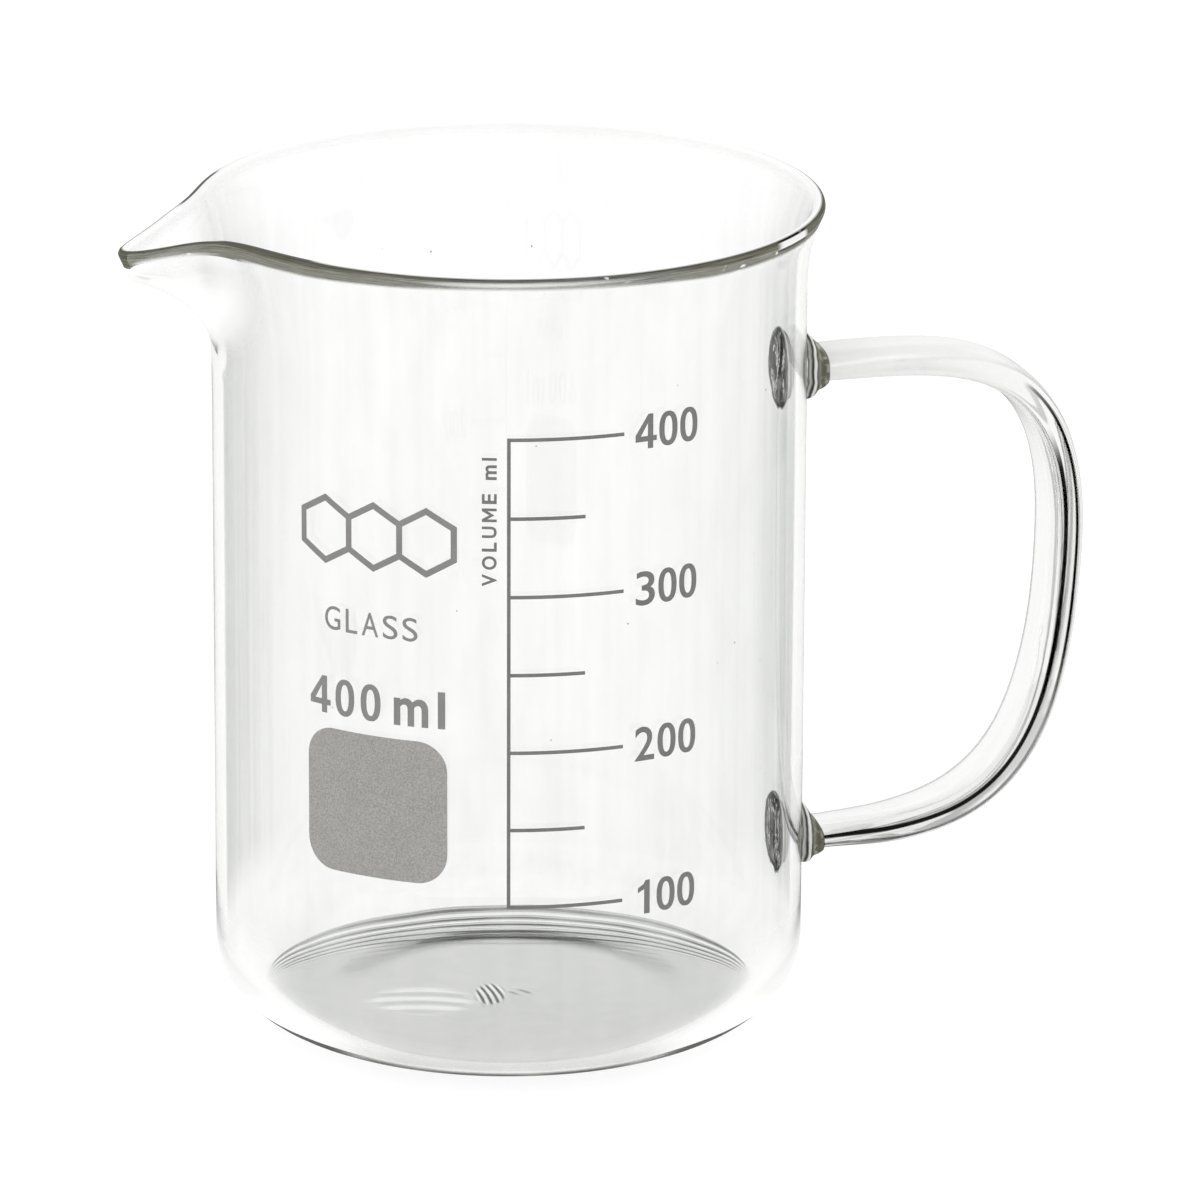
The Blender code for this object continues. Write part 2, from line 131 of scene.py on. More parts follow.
def vessel_mesh():
    steps = 288
    rows = wall_rows()
    count = len(rows)
    turn = np.arange(steps) / steps * math.tau - math.pi
    az = turn + 0.45 * np.sin(turn)          # crowded towards the spout
    # sin is 0 at both ends; the crowd is where the step is smallest, at -X
    r = rows[:, 0][:, None] + np.zeros(steps)[None, :]
    z = rows[:, 1][:, None] + np.zeros(steps)[None, :]
    azg = az[None, :] + np.zeros(count)[:, None]
    lift = np.clip((z - SPOUT_ROOT_Z) / (SPOUT_FULL_Z - SPOUT_ROOT_Z), 0.0, 1.0)
    d = np.arctan2(np.sin(azg - math.pi), np.cos(azg - math.pi))
    width = SPOUT_W_ROOT + (SPOUT_W_RIM - SPOUT_W_ROOT) * lift
    away = np.sqrt(d * d + 0.0009) - 0.03
    bulge = np.exp(-(away / width) ** SPOUT_POWER) * lift ** 2
    drop = np.exp(-(d / 0.14) ** 2) * lift ** 3
    # the wall of drawn tube isn't quite even
    wave = 0.035 * np.sin(3 * azg + 0.7 + z * 0.021) + 0.02 * np.sin(7 * azg - z * 0.034)
    r = r + SPOUT_REACH * bulge + wave * smooth(z, 14.0, 30.0) * (1.0 - smooth(z, 85.0, 100.0))
    z = z - SPOUT_DROP * drop
    mid = np.stack([r * np.cos(azg), r * np.sin(azg), z], axis=-1)
    du = np.roll(mid, -1, axis=1) - np.roll(mid, 1, axis=1)
    dv = np.gradient(mid, axis=0)
    normal = unit(np.cross(du, dv))
    if np.sum(normal[60] * np.stack([np.cos(az), np.sin(az), 0 * az], axis=-1)) < 0:
        normal = -normal
    # thickness on either side of the middle line
    r0 = rows[:, 0][:, None]
    z0 = rows[:, 1][:, None]
    foot = 1.0 - smooth(r0, 19.0, 27.5)
    c, s = math.cos(SCAR_TURN), math.sin(SCAR_TURN)
    a = mid[..., 0] * c + mid[..., 1] * s
    b = -mid[..., 0] * s + mid[..., 1] * c
    low = (z0 < 1.0) * 1.0
    # where the glass was cut from the pipe: four soft lens-shaped folds side by
    # side, a small tight pleat at their end, and a wisp beyond it
    window = np.exp(-((a + 11.4) / 6.6) ** 4 - ((b + 4.6) / 5.2) ** 4) * low
    seam = 0.085 * window * np.sin((b + 4.6 + 0.035 * (a + 11.4) ** 2) * 1.85)
    knot = np.exp(-((a + 2.6) / 1.9) ** 4 - ((b + 2.6) / 3.9) ** 4) * low
    seam = seam + 0.16 * knot * np.sin((a + 2.6) * 5.4 + 0.55 * b + 0.06 * b * b)
    wisp = np.exp(-((a - 1.6) / 2.2) ** 2 - ((b + 1.0) / 1.3) ** 2) * low
    seam = seam + 0.10 * wisp * np.sin(a * 2.6 + b * 1.7)
    out = HALF - 0.34 * foot * low + 0.0 * a
    inn = HALF + 0.30 * low + 0.45 * np.exp(-((z0 - 4.5) / 4.5) ** 2) * (1.0 - low) + 0.0 * a
    inn = inn + 0.22 * seam
    near_rim = smooth(z0, RIM_Z - 3.0, RIM_Z - 0.6)
    out = out + 0.04 * near_rim
    inn = inn + 0.04 * near_rim
    outer = mid + normal * out[..., None]
    inner = mid - normal * inn[..., None]
    # the bead: half a circle from the outer face over to the inner one
    tangent = unit(mid[-1] - mid[-2])
    bead_r = (out[-1] + inn[-1])[:, None] / 2
    beads = []
    for k in range(1, 12):
        t = math.pi * k / 12
        beads.append(mid[-1] + normal[-1] * bead_r * math.cos(t) + tangent * bead_r * math.sin(t) * 1.04)
    bead = np.array(beads)
    pts = np.concatenate([outer.reshape(-1, 3), bead.reshape(-1, 3), inner[::-1].reshape(-1, 3)])
    total = count * 2 + len(beads)
    inside = np.concatenate([np.zeros(count * steps),
                             np.repeat(np.linspace(0, 1, len(beads) + 2)[1:-1], steps),
                             np.ones(count * steps), [0.0, 1.0]])
    # way from the rim's crest, down the outside (+) or the inside (-)
    way = np.cumsum(np.r_[0.0, np.hypot(*np.diff(rows, axis=0)[::-1].T)])[::-1] + 1.22
    way = (way[:, None] + 0 * azg)
    crest = np.linspace(1.22, -1.22, len(beads) + 2)[1:-1]
    lip = np.concatenate([way.reshape(-1), np.repeat(crest, steps), -way[::-1].reshape(-1), [120.0, -120.0]])
    pole_out = (0.0, 0.0, HALF - float(out[0].mean()))
    pole_in = (0.0, 0.0, HALF + float(inn[0].mean()))
    pts = np.concatenate([pts, [pole_out, pole_in]])
    faces = grid_faces(total, steps, 0)
    p0, p1 = len(pts) - 2, len(pts) - 1
    last = (total - 1) * steps
    for i in range(steps):
        j = (i + 1) % steps
        faces.append((p0, j, i))
        faces.append((last + i, last + j, p1))
    mesh = closed_mesh("vessel_glass", pts, faces)
    spread = np.clip(bulge * 1.6, 0.0, 1.0)
    lipped = np.concatenate([spread.reshape(-1), np.tile(spread[-1], len(beads)), spread[::-1].reshape(-1), [0.0, 0.0]])
    for name, values in (("inside", inside), ("way", lip), ("spout", lipped)):
        attr = mesh.attributes.new(name, "FLOAT", "POINT")
        attr.data.foreach_set("value", values.astype(np.float32))
    return mesh


# ---- handle ---------------------------------------------------------------
STRAP_KNOTS = [(43.7, 87.25), (49.5, 87.3), (58.0, 87.05), (65.5, 85.8),
               (72.0, 82.6), (76.9, 76.0), (79.1, 67.0), (79.1, 56.5),
               (77.9, 45.0), (75.0, 34.5), (70.2, 27.0), (63.5, 22.4),
               (55.5, 20.4), (49.5, 20.05), (43.7, 19.95)]
STRAP_HALF_W = 5.15
STRAP_HALF_T = (1.95, 2.30, 1.30)            # at the upper seal, the grip and the lower seal


def spline_point(knots, t):
    n = len(knots) - 1
    k = min(int(t * n), n - 1)
    u = t * n - k
    p1, p2 = Vector(knots[k]), Vector(knots[k + 1])
    p0 = Vector(knots[k - 1]) if k > 0 else p1 * 2 - p2
    p3 = Vector(knots[k + 2]) if k + 2 <= n else p2 * 2 - p1
    return 0.5 * ((2 * p1) + (p2 - p0) * u + (2 * p0 - 5 * p1 + 4 * p2 - p3) * u * u
                  + (3 * p1 - p0 - 3 * p2 + p3) * u ** 3)


def smooth_line(count):
    """Points along the strap's centre line, evened out so that its curvature has no steps."""
    line = np.array([tuple(spline_point(STRAP_KNOTS, i / (count - 1))) for i in range(count)])
    for _ in range(60):
        line[1:-1] = line[1:-1] * 0.5 + (line[:-2] + line[2:]) * 0.25
    return line


def superellipse(angle, half_w, half_h, exponent):
    c, s = math.cos(angle), math.sin(angle)
    return (half_w * math.copysign(abs(c) ** (2 / exponent), c),
            half_h * math.copysign(abs(s) ** (2 / exponent), s))


def loft(name, rings, start=None, end=None, sharp=None):
    count = len(rings[0])
    pts = np.concatenate([np.asarray(r) for r in rings])
    faces = grid_faces(len(rings), count, 0)
    extra = []
    for first, middle, flip in ((0, start, True), ((len(rings) - 1) * count, end, False)):
        if middle is None:
            loop = list(range(first, first + count))
            faces.append(tuple(reversed(loop)) if flip else tuple(loop))
            continue
        at = len(pts) + len(extra)
        extra.append(middle)
        for i in range(count):
            j = (i + 1) % count
            faces.append((at, first + j, first + i) if flip else (at, first + i, first + j))
    if extra:
        pts = np.concatenate([pts, np.array(extra)])
    return closed_mesh(name, pts, faces, sharp)


def strap_half_thickness(t):
    end = STRAP_HALF_T[0] if t < 0.5 else STRAP_HALF_T[2]
    return end + (STRAP_HALF_T[1] - end) * math.sin(math.pi * t) ** 0.8


def handle_mesh():
    count, sides = 241, 96
    line = smooth_line(count)
    rings, rows = [], []
    for i in range(count):
        t = i / (count - 1)
        a, b = line[max(0, i - 1)], line[min(count - 1, i + 1)]
        along = (b - a) / np.linalg.norm(b - a)
        out = np.array([-along[1], 0.0, along[0]])
        centre = np.array([line[i][0], 0.0, line[i][1]])
        half_t = strap_half_thickness(t)
        # hand-drawn glass: the section breathes a little along the strap
        half_w = STRAP_HALF_W * (1.0 + 0.010 * math.sin(t * 19.0 + 1.0) + 0.006 * math.sin(t * 43.0))
        half_t = half_t * (1.0 + 0.018 * math.sin(t * 13.0 + 2.0) + 0.010 * math.sin(t * 31.0 + 0.4))
        exponent = 2.8 + 0.8 * smooth(t, 0.02, 0.22) * (1.0 - smooth(t, 0.80, 0.98))
        ring = []
        for k in range(sides):
            w, h = superellipse(math.tau * (k + 0.5) / sides, half_w, half_t, exponent)
            ring.append(centre + np.array([0.0, w, 0.0]) + out * h)
            nose = smooth(abs(w) / half_w, 0.80, 0.90)
            rows.append((h * nose + 9.0 * (1.0 - nose), t))
        rings.append(ring)
    # the ends are drawn in a little, inside the seals
    ends = []
    for ring, way in ((rings[0], -1.0), (rings[-1], -1.0)):
        ring = np.array(ring)
        mid = ring.mean(axis=0)
        ends.append([mid + (p - mid) * 0.93 + np.array([way * 0.55, 0, 0]) for p in ring])
    rings = [ends[0]] + rings + [ends[1]]
    mesh = loft("handle_glass", rings, np.mean(ends[0], axis=0) - np.array([0.2, 0, 0]),
                np.mean(ends[1], axis=0) - np.array([0.2, 0, 0]))
    # height across the strap on its two rounded edges, and the way along it
    rows = [(9.0, 0.0)] * sides + rows + [(9.0, 1.0)] * sides + [(9.0, 0.0), (9.0, 1.0)]
    for name, values in (("across", [r[0] for r in rows]), ("along", [r[1] for r in rows])):
        attr = mesh.attributes.new(name, "FLOAT", "POINT")
        attr.data.foreach_set("value", np.array(values, dtype=np.float32))
    return mesh


# ---- seals ----------------------------------------------------------------
def crinkle(p, scale, seed):
    return noise.noise(Vector((p[0] * scale + seed, p[1] * scale - seed, p[2] * scale + 2 * seed)))


def seal_mesh(name, z_mid, strap_z, strap_t, seed):
    """A trumpet of hot-worked glass from the wall to the strap, in folds that
    run round it, with a crumpled face where it is fused to the wall."""
    sides = 72
    back_r = BODY_R + 0.06
    half_w0, half_h0, w_mid = 4.9, 5.6, -1.1
    front_w, front_t = STRAP_HALF_W + 0.30, strap_half_thickness(strap_t) + 0.45
    front_x = 43.9
    rings = []
    for g in (0.12, 0.25, 0.38, 0.5, 0.62, 0.73, 0.83, 0.91, 0.97):
        ring = []
        for k in range(sides):
            w, h = superellipse(math.tau * k / sides, half_w0 * g, half_h0 * g, 2.0)
            w += w_mid
            p = np.array([back_r, w, z_mid + h])
            rough = 0.17 * crinkle(p, 0.9, seed) + 0.10 * crinkle(p, 2.3, seed + 5)
            r = back_r + 0.16 + rough * (1.0 - g ** 6)
            ring.append(np.array([r * math.cos(w / back_r), r * math.sin(w / back_r), z_mid + h]))
        rings.append(ring)
    stations = 40
    for i in range(stations + 1):
        f = i / stations
        slump = (1 - f) ** 0.75
        fold = 1.0 + 0.06 * math.sin(f * 13.5 + 0.9) * math.sin(math.pi * min(1.0, f * 1.1)) ** 0.7
        half_w = (front_w + (half_w0 - front_w) * slump) * (1.0 + (fold - 1.0) * 0.6)
        half_h = (front_t + (half_h0 - front_t) * slump) * fold
        if i == stations:
            half_w *= 0.93
            half_h *= 0.88
        ring = []
        for k in range(sides):
            w, h = superellipse(math.tau * k / sides, half_w, half_h, 2.0 + 0.9 * f)
            w += w_mid * (1 - f) ** 1.5
            z = z_mid + (strap_z - z_mid) * f + h
            back = np.array([back_r * math.cos(w / back_r), back_r * math.sin(w / back_r), z])
            front = np.array([front_x, w, z])
            p = back * (1 - f) + front * f
            away = np.array([0.0, w, h]) / max(1e-6, math.hypot(w, h))
            p = p + away * 0.14 * crinkle(p, 0.55, seed + 9) * math.sin(math.pi * min(1.0, f * 1.3))
            ring.append(p)
        rings.append(ring)
    mesh = loft(name, rings, np.array([back_r + 0.2, 0.0, z_mid]),
                np.array([front_x + 0.05, 0.0, strap_z]))
    # 0 on the crumpled face against the wall, 1 at the strap
    reach = np.concatenate([np.full(9 * sides, 0.0), np.repeat(np.linspace(0.02, 1.0, stations + 1), sides), [0.0, 1.0]])
    attr = mesh.attributes.new("reach", "FLOAT", "POINT")
    attr.data.foreach_set("value", reach.astype(np.float32))
    return mesh


# ---- enamel ---------------------------------------------------------------
ROLL_STEP = 0.7


def baked(obj):
    bpy.context.view_layer.update()
    deps = bpy.context.evaluated_depsgraph_get()
    mesh = bpy.data.meshes.new_from_object(obj.evaluated_get(deps))
    mesh.transform(obj.matrix_world)
    bpy.data.objects.remove(obj, do_unlink=True)
    return mesh


def roll_onto_wall(name, mesh):
    """Cuts a flat print into narrow bands and rolls it onto the wall."""
    bm = bmesh.new()
    bm.from_mesh(mesh)
    bmesh.ops.remove_doubles(bm, verts=bm.verts, dist=2e-3)
    low = min(v.co.x for v in bm.verts)
    high = max(v.co.x for v in bm.verts)
    count = max(1, math.ceil((high - low) / ROLL_STEP))
    for i in range(1, count):
        bmesh.ops.bisect_plane(bm, geom=bm.verts[:] + bm.edges[:] + bm.faces[:],
                               dist=1e-4, plane_co=(low + (high - low) * i / count, 0, 0),
                               plane_no=(1, 0, 0))
    for v in bm.verts:
        az = PRINT_AZ + v.co.x / BODY_R
        r = PRINT_R + v.co.z
        v.co = Vector((r * math.cos(az), r * math.sin(az), v.co.y)) * MM
    bmesh.ops.recalc_face_normals(bm, faces=bm.faces)
    if bm.calc_volume(signed=True) < 0.0:
        bmesh.ops.reverse_faces(bm, faces=bm.faces)
    bm.to_mesh(mesh)
    bm.free()
    mesh.name = name
    mesh.shade_smooth()
    mesh.set_sharp_from_angle(angle=math.radians(40))
    return mesh


def flat_outline(name, loops):
    curve = bpy.data.curves.new(name, "CURVE")
    curve.dimensions = "2D"
    curve.fill_mode = "BOTH"
    curve.extrude = PRINT_T / 2
    for loop in loops:
        line = curve.splines.new("POLY")
        line.points.add(len(loop) - 1)
        for point, (x, y) in zip(line.points, loop):
            point.co = (x, y, 0.0, 1.0)
        line.use_cyclic_u = True
    obj = add_object(name + "_outline", curve)
    obj.location.z = PRINT_T / 2
    return baked(obj)


def glyph(name, character, centre_x, base_y, height, width, boldness=0.0, upright=False):
    text = bpy.data.curves.new(name, "FONT")
    text.body = character
    text.size = 1.0
    text.resolution_u = 6
    text.offset = boldness
    text.extrude = 0.05
    mesh = baked(add_object(name + "_text", text))
    co = np.array([v.co[:] for v in mesh.vertices])
    lo, hi = co.min(axis=0), co.max(axis=0)
    size = Matrix.Diagonal((width / (hi[0] - lo[0]), height / (hi[1] - lo[1]),
                            PRINT_T / (hi[2] - lo[2]), 1.0))
    move = Matrix.Translation((-(hi[0] + lo[0]) / 2, -lo[1], -lo[2]))
    turn = Matrix.Rotation(math.pi / 2, 4, "Z") if upright else Matrix.Identity(4)
    mesh.transform(Matrix.Translation((centre_x, base_y, 0.0)) @ turn @ size @ move)
    return roll_onto_wall(name, mesh)


def one(name, cx, base, height, width):
    right = cx + width / 2
    stem = 0.82 * height / NUMERAL_H
    top = base + height
    pts = [(right, base), (right, top), (right - 0.75 * stem, top),
           (right - 1.1 * stem, top - 0.11 * height), (right - width, top - 0.22 * height),
           (right - width, top - 0.36 * height), (right - stem, top - 0.26 * height),
           (right - stem, base)]
    return roll_onto_wall(name, flat_outline(name, [pts]))


def four(name, cx, base, height, width):
    left = cx - width / 2
    stroke = 0.78 * height / NUMERAL_H
    stem_r = left + 0.83 * width
    stem_l = stem_r - stroke
    bar_lo = base + 0.21 * height
    bar_hi = bar_lo + 0.92 * stroke
    top = base + height
    outer = [(stem_l, base), (stem_r, base), (stem_r, bar_lo), (left + width, bar_lo),
             (left + width, bar_hi), (stem_r, bar_hi), (stem_r, top), (stem_l + 0.1 * stroke, top),
             (left, bar_hi + 0.25 * stroke), (left, bar_lo), (stem_l, bar_lo)]
    inner = [(stem_l, bar_hi), (left + 0.95 * stroke, bar_hi), (stem_l, top - 1.55 * stroke)]
    return roll_onto_wall(name, flat_outline(name, [outer, inner]))


def ring_outline(cx, cy, half_w, half_h, exponent, count, turn=1):
    return [superellipse_at(cx, cy, half_w, half_h, exponent, turn * math.tau * k / count)
            for k in range(count)]


def superellipse_at(cx, cy, half_w, half_h, exponent, a):
    x, y = superellipse(a, half_w, half_h, exponent)
    return cx + x, cy + y


def zero(name, cx, base, height, width):
    stroke = 0.78 * height / NUMERAL_H
    mid = base + height / 2
    return roll_onto_wall(name, flat_outline(name, [
        ring_outline(cx, mid, width / 2, height / 2, 2.35, 56),
        ring_outline(cx, mid, width / 2 - stroke, height / 2 - 0.86 * stroke, 2.3, 44, -1)]))


def numeral(name, digit, cx, base, height, width):
    drawn = {"0": zero, "1": one, "4": four}.get(digit)
    if drawn:
        return drawn(name, cx, base, height, width)
    return glyph(name, digit, cx, base, height, width, boldness=0.008)


def scale_outline():
    h = LINE_W / 2
    ticks = [SCALE_Z + TICK_STEP * i for i in range(7)]
    pts = [(-h, ticks[0] - h)]
    for i, z in enumerate(ticks):
        reach = LONG_TICK if i % 2 == 0 else SHORT_TICK
        pts += [(reach, z - h), (reach, z + h)]
        if i < 6:
            pts += [(h, z + h), (h, ticks[i + 1] - h)]
    pts.append((-h, ticks[-1] + h))
    return pts


def rounded_rectangle(x0, x1, y0, y1, radius, steps=14):
    pts = []
    for cx, cy, start in ((x1 - radius, y1 - radius, 0), (x0 + radius, y1 - radius, 1),
                          (x0 + radius, y0 + radius, 2), (x1 - radius, y0 + radius, 3)):
        for i in range(steps + 1):
            a = math.pi / 2 * (start + i / steps)
            pts.append((cx + radius * math.cos(a), cy + radius * math.sin(a)))
    return pts


def hexagon(cx, cy, radius):
    return [(cx + radius * math.cos(math.pi / 6 + math.pi / 3 * k),
             cy + radius * math.sin(math.pi / 6 + math.pi / 3 * k)) for k in range(6)]


def emblem_loops():
    radius, line = 4.3, 0.42
    pitch = radius * math.sqrt(3)
    outer_r = radius + line / math.cos(math.pi / 6)
    inner_r = radius - line / math.cos(math.pi / 6)
    centres = [(-18.4 + pitch * i, 77.1) for i in (-1, 0, 1)]
    step = outer_r * math.cos(math.pi / 6)
    slope = math.tan(math.pi / 6)
    top, bottom = [], []
    for i, (cx, cy) in enumerate(centres):
        left = cx - (step if i == 0 else pitch / 2)
        right = cx + (step if i == 2 else pitch / 2)
        left_y = outer_r - (cx - left) * slope
        right_y = outer_r - (right - cx) * slope
        top += [(left, cy + left_y), (cx, cy + outer_r)]
        bottom += [(left, cy - left_y), (cx, cy - outer_r)]
        if i == 2:
            top.append((right, cy + right_y))
            bottom.append((right, cy - right_y))
    return [bottom + list(reversed(top))] + [list(reversed(hexagon(cx, cy, inner_r))) for cx, cy in centres]


def print_meshes():
    """Every piece of enamel: (CAD node, mesh)."""
    made = [("scale_comb", roll_onto_wall("scale_comb_enamel", flat_outline("scale_comb_e", [scale_outline()])))]
    widths = {"0": 2.8, "1": 1.75, "2": 2.85, "3": 2.8, "4": 3.1}
    for hundreds in (1, 2, 3, 4):
        tick_z = SCALE_Z + TICK_STEP * 2 * (hundreds - 1)
        for digit, letter, middle in zip(str(hundreds * 100), "abc", NUMERAL_CENTRES):
            node = "num_%d_%s" % (hundreds * 100, letter)
            made.append((node, numeral(node + "_enamel", digit, middle, tick_z - NUMERAL_H / 2,
                                       NUMERAL_H, widths[digit])))
    base, height = 51.62, 5.1
    for letter, digit, middle, width in (("a", "4", -26.85, 3.35), ("b", "0", -22.85, 2.95),
                                         ("c", "0", -18.9, 2.95)):
        made.append(("capacity_" + letter, numeral("capacity_%s_enamel" % letter, digit, middle, base, height, width)))
    made.append(("capacity_m", glyph("capacity_m_enamel", "m", -13.1, base, 3.85, 4.8, boldness=0.022)))
    made.append(("capacity_l", roll_onto_wall("capacity_l_enamel", flat_outline("capacity_l_e", [[
        (-9.4, base), (-8.4, base), (-8.4, base + height), (-9.4, base + height)]]))))
    made.append(("marking_patch", roll_onto_wall("marking_patch_enamel", flat_outline(
        "marking_patch_e", [rounded_rectangle(-28.95, -8.14, 29.9, 49.65, 4.2)]))))
    upright_h, upright_x, along = 1.95, -1.58, 71.6
    for index, (character, width, height) in enumerate((
            ("V", 1.65, 1.0), ("O", 1.85, 1.0), ("L", 1.25, 1.0), ("U", 1.55, 1.0),
            ("M", 1.85, 1.0), ("E", 1.35, 1.0), ("m", 2.0, 0.76), ("l", 0.36, 1.0))):
        if index == 6:
            along += 1.3
        middle = along + width / 2
        node = "legend_%d" % (index + 1)
        if character == "l":
            half = width / 2
            mesh = roll_onto_wall(node + "_enamel", flat_outline(node + "_e", [[
                (upright_x - upright_h, middle - half), (upright_x, middle - half),
                (upright_x, middle + half), (upright_x - upright_h, middle + half)]]))
        elif character == "M":
            h, w, stem = upright_h, width, 0.36
            shape = [(0, 0), (stem, 0), (stem, 0.64 * h), (w / 2, 0.16 * h), (w - stem, 0.64 * h), (w - stem, 0),
                     (w, 0), (w, h), (w - stem, h), (w / 2, 0.50 * h), (stem, h), (0, h)]
            mesh = roll_onto_wall(node + "_enamel", flat_outline(node + "_e", [[
                (upright_x - y, middle + x - w / 2) for x, y in shape]]))
        else:
            mesh = glyph(node + "_enamel", character, upright_x, middle, upright_h * height, width,
                         boldness=0.024, upright=True)
        made.append((node, mesh))
        along += width + 0.62
    for index, (character, middle, width) in enumerate((
            ("G", -24.75, 2.45), ("L", -21.75, 1.75), ("A", -18.95, 2.45),
            ("S", -16.0, 2.1), ("S", -13.2, 2.1))):
        node = "glass_%d" % (index + 1)
        made.append((node, glyph(node + "_enamel", character, middle, 63.35, 3.25, width)))
    made.append(("emblem", roll_onto_wall("emblem_enamel", flat_outline("emblem_e", emblem_loops()))))
    return made


# ---- materials ------------------------------------------------------------
class Tree:
    """Short names for building a node tree."""

    def __init__(self, name):
        self.mat = bpy.data.materials.new(name)
        self.mat.use_nodes = True
        self.nt = self.mat.node_tree
        self.nt.nodes.clear()
        self.out = self.nt.nodes.new("ShaderNodeOutputMaterial")

    def node(self, kind, **values):
        n = self.nt.nodes.new(kind)
        for key, value in values.items():
            if key in n.inputs:
                n.inputs[key].default_value = value
            else:
                setattr(n, key, value)
        return n

    def link(self, a, b):
        self.nt.links.new(a, b)

    def feed(self, socket, value):
        if isinstance(value, (int, float)):
            socket.default_value = value
        elif isinstance(value, (tuple, list)):
            socket.default_value = tuple(value) + ((1.0,) if len(value) == 3 and len(socket.default_value) == 4 else ())
        else:
            self.link(value, socket)

    def math(self, op, a, b=None, clamp=False):
        n = self.node("ShaderNodeMath", operation=op, use_clamp=clamp)
        self.feed(n.inputs[0], a)
        if b is not None:
            self.feed(n.inputs[1], b)
        return n.outputs[0]

    def ramp(self, value, a, b, lo=0.0, hi=1.0):
        """value from a to b becomes lo to hi, smoothly, and stays there outside."""
        n = self.node("ShaderNodeMapRange", interpolation_type="SMOOTHSTEP")
        self.feed(n.inputs["Value"], value)
        n.inputs["From Min"].default_value = a
        n.inputs["From Max"].default_value = b
        n.inputs["To Min"].default_value = lo
        n.inputs["To Max"].default_value = hi
        return n.outputs["Result"]

    def mix(self, factor, a, b):
        n = self.node("ShaderNodeMix", data_type="RGBA")
        self.feed(n.inputs["Factor"], factor)
        self.feed(n.inputs["A"] if False else n.inputs[6], a)
        self.feed(n.inputs[7], b)
        return n.outputs[2]

    def place(self, scale=(1, 1, 1)):
        coord = self.node("ShaderNodeTexCoord")
        mapping = self.node("ShaderNodeMapping")
        mapping.inputs["Scale"].default_value = scale
        self.link(coord.outputs["Object"], mapping.inputs["Vector"])
        return mapping.outputs["Vector"]

    def noise(self, scale, detail=2.0, stretch=(1, 1, 1), rough=0.5):
        n = self.node("ShaderNodeTexNoise")
        n.inputs["Scale"].default_value = scale
        n.inputs["Detail"].default_value = detail
        n.inputs["Roughness"].default_value = rough
        self.link(self.place(stretch), n.inputs["Vector"])
        return n.outputs["Fac"]

    def attribute(self, name):
        n = self.node("ShaderNodeAttribute", attribute_name=name)
        return n.outputs["Fac"]

    def bump(self, height, strength, distance):
        n = self.node("ShaderNodeBump")
        n.inputs["Strength"].default_value = strength
        n.inputs["Distance"].default_value = distance
        self.link(height, n.inputs["Height"])
        return n.outputs["Normal"]


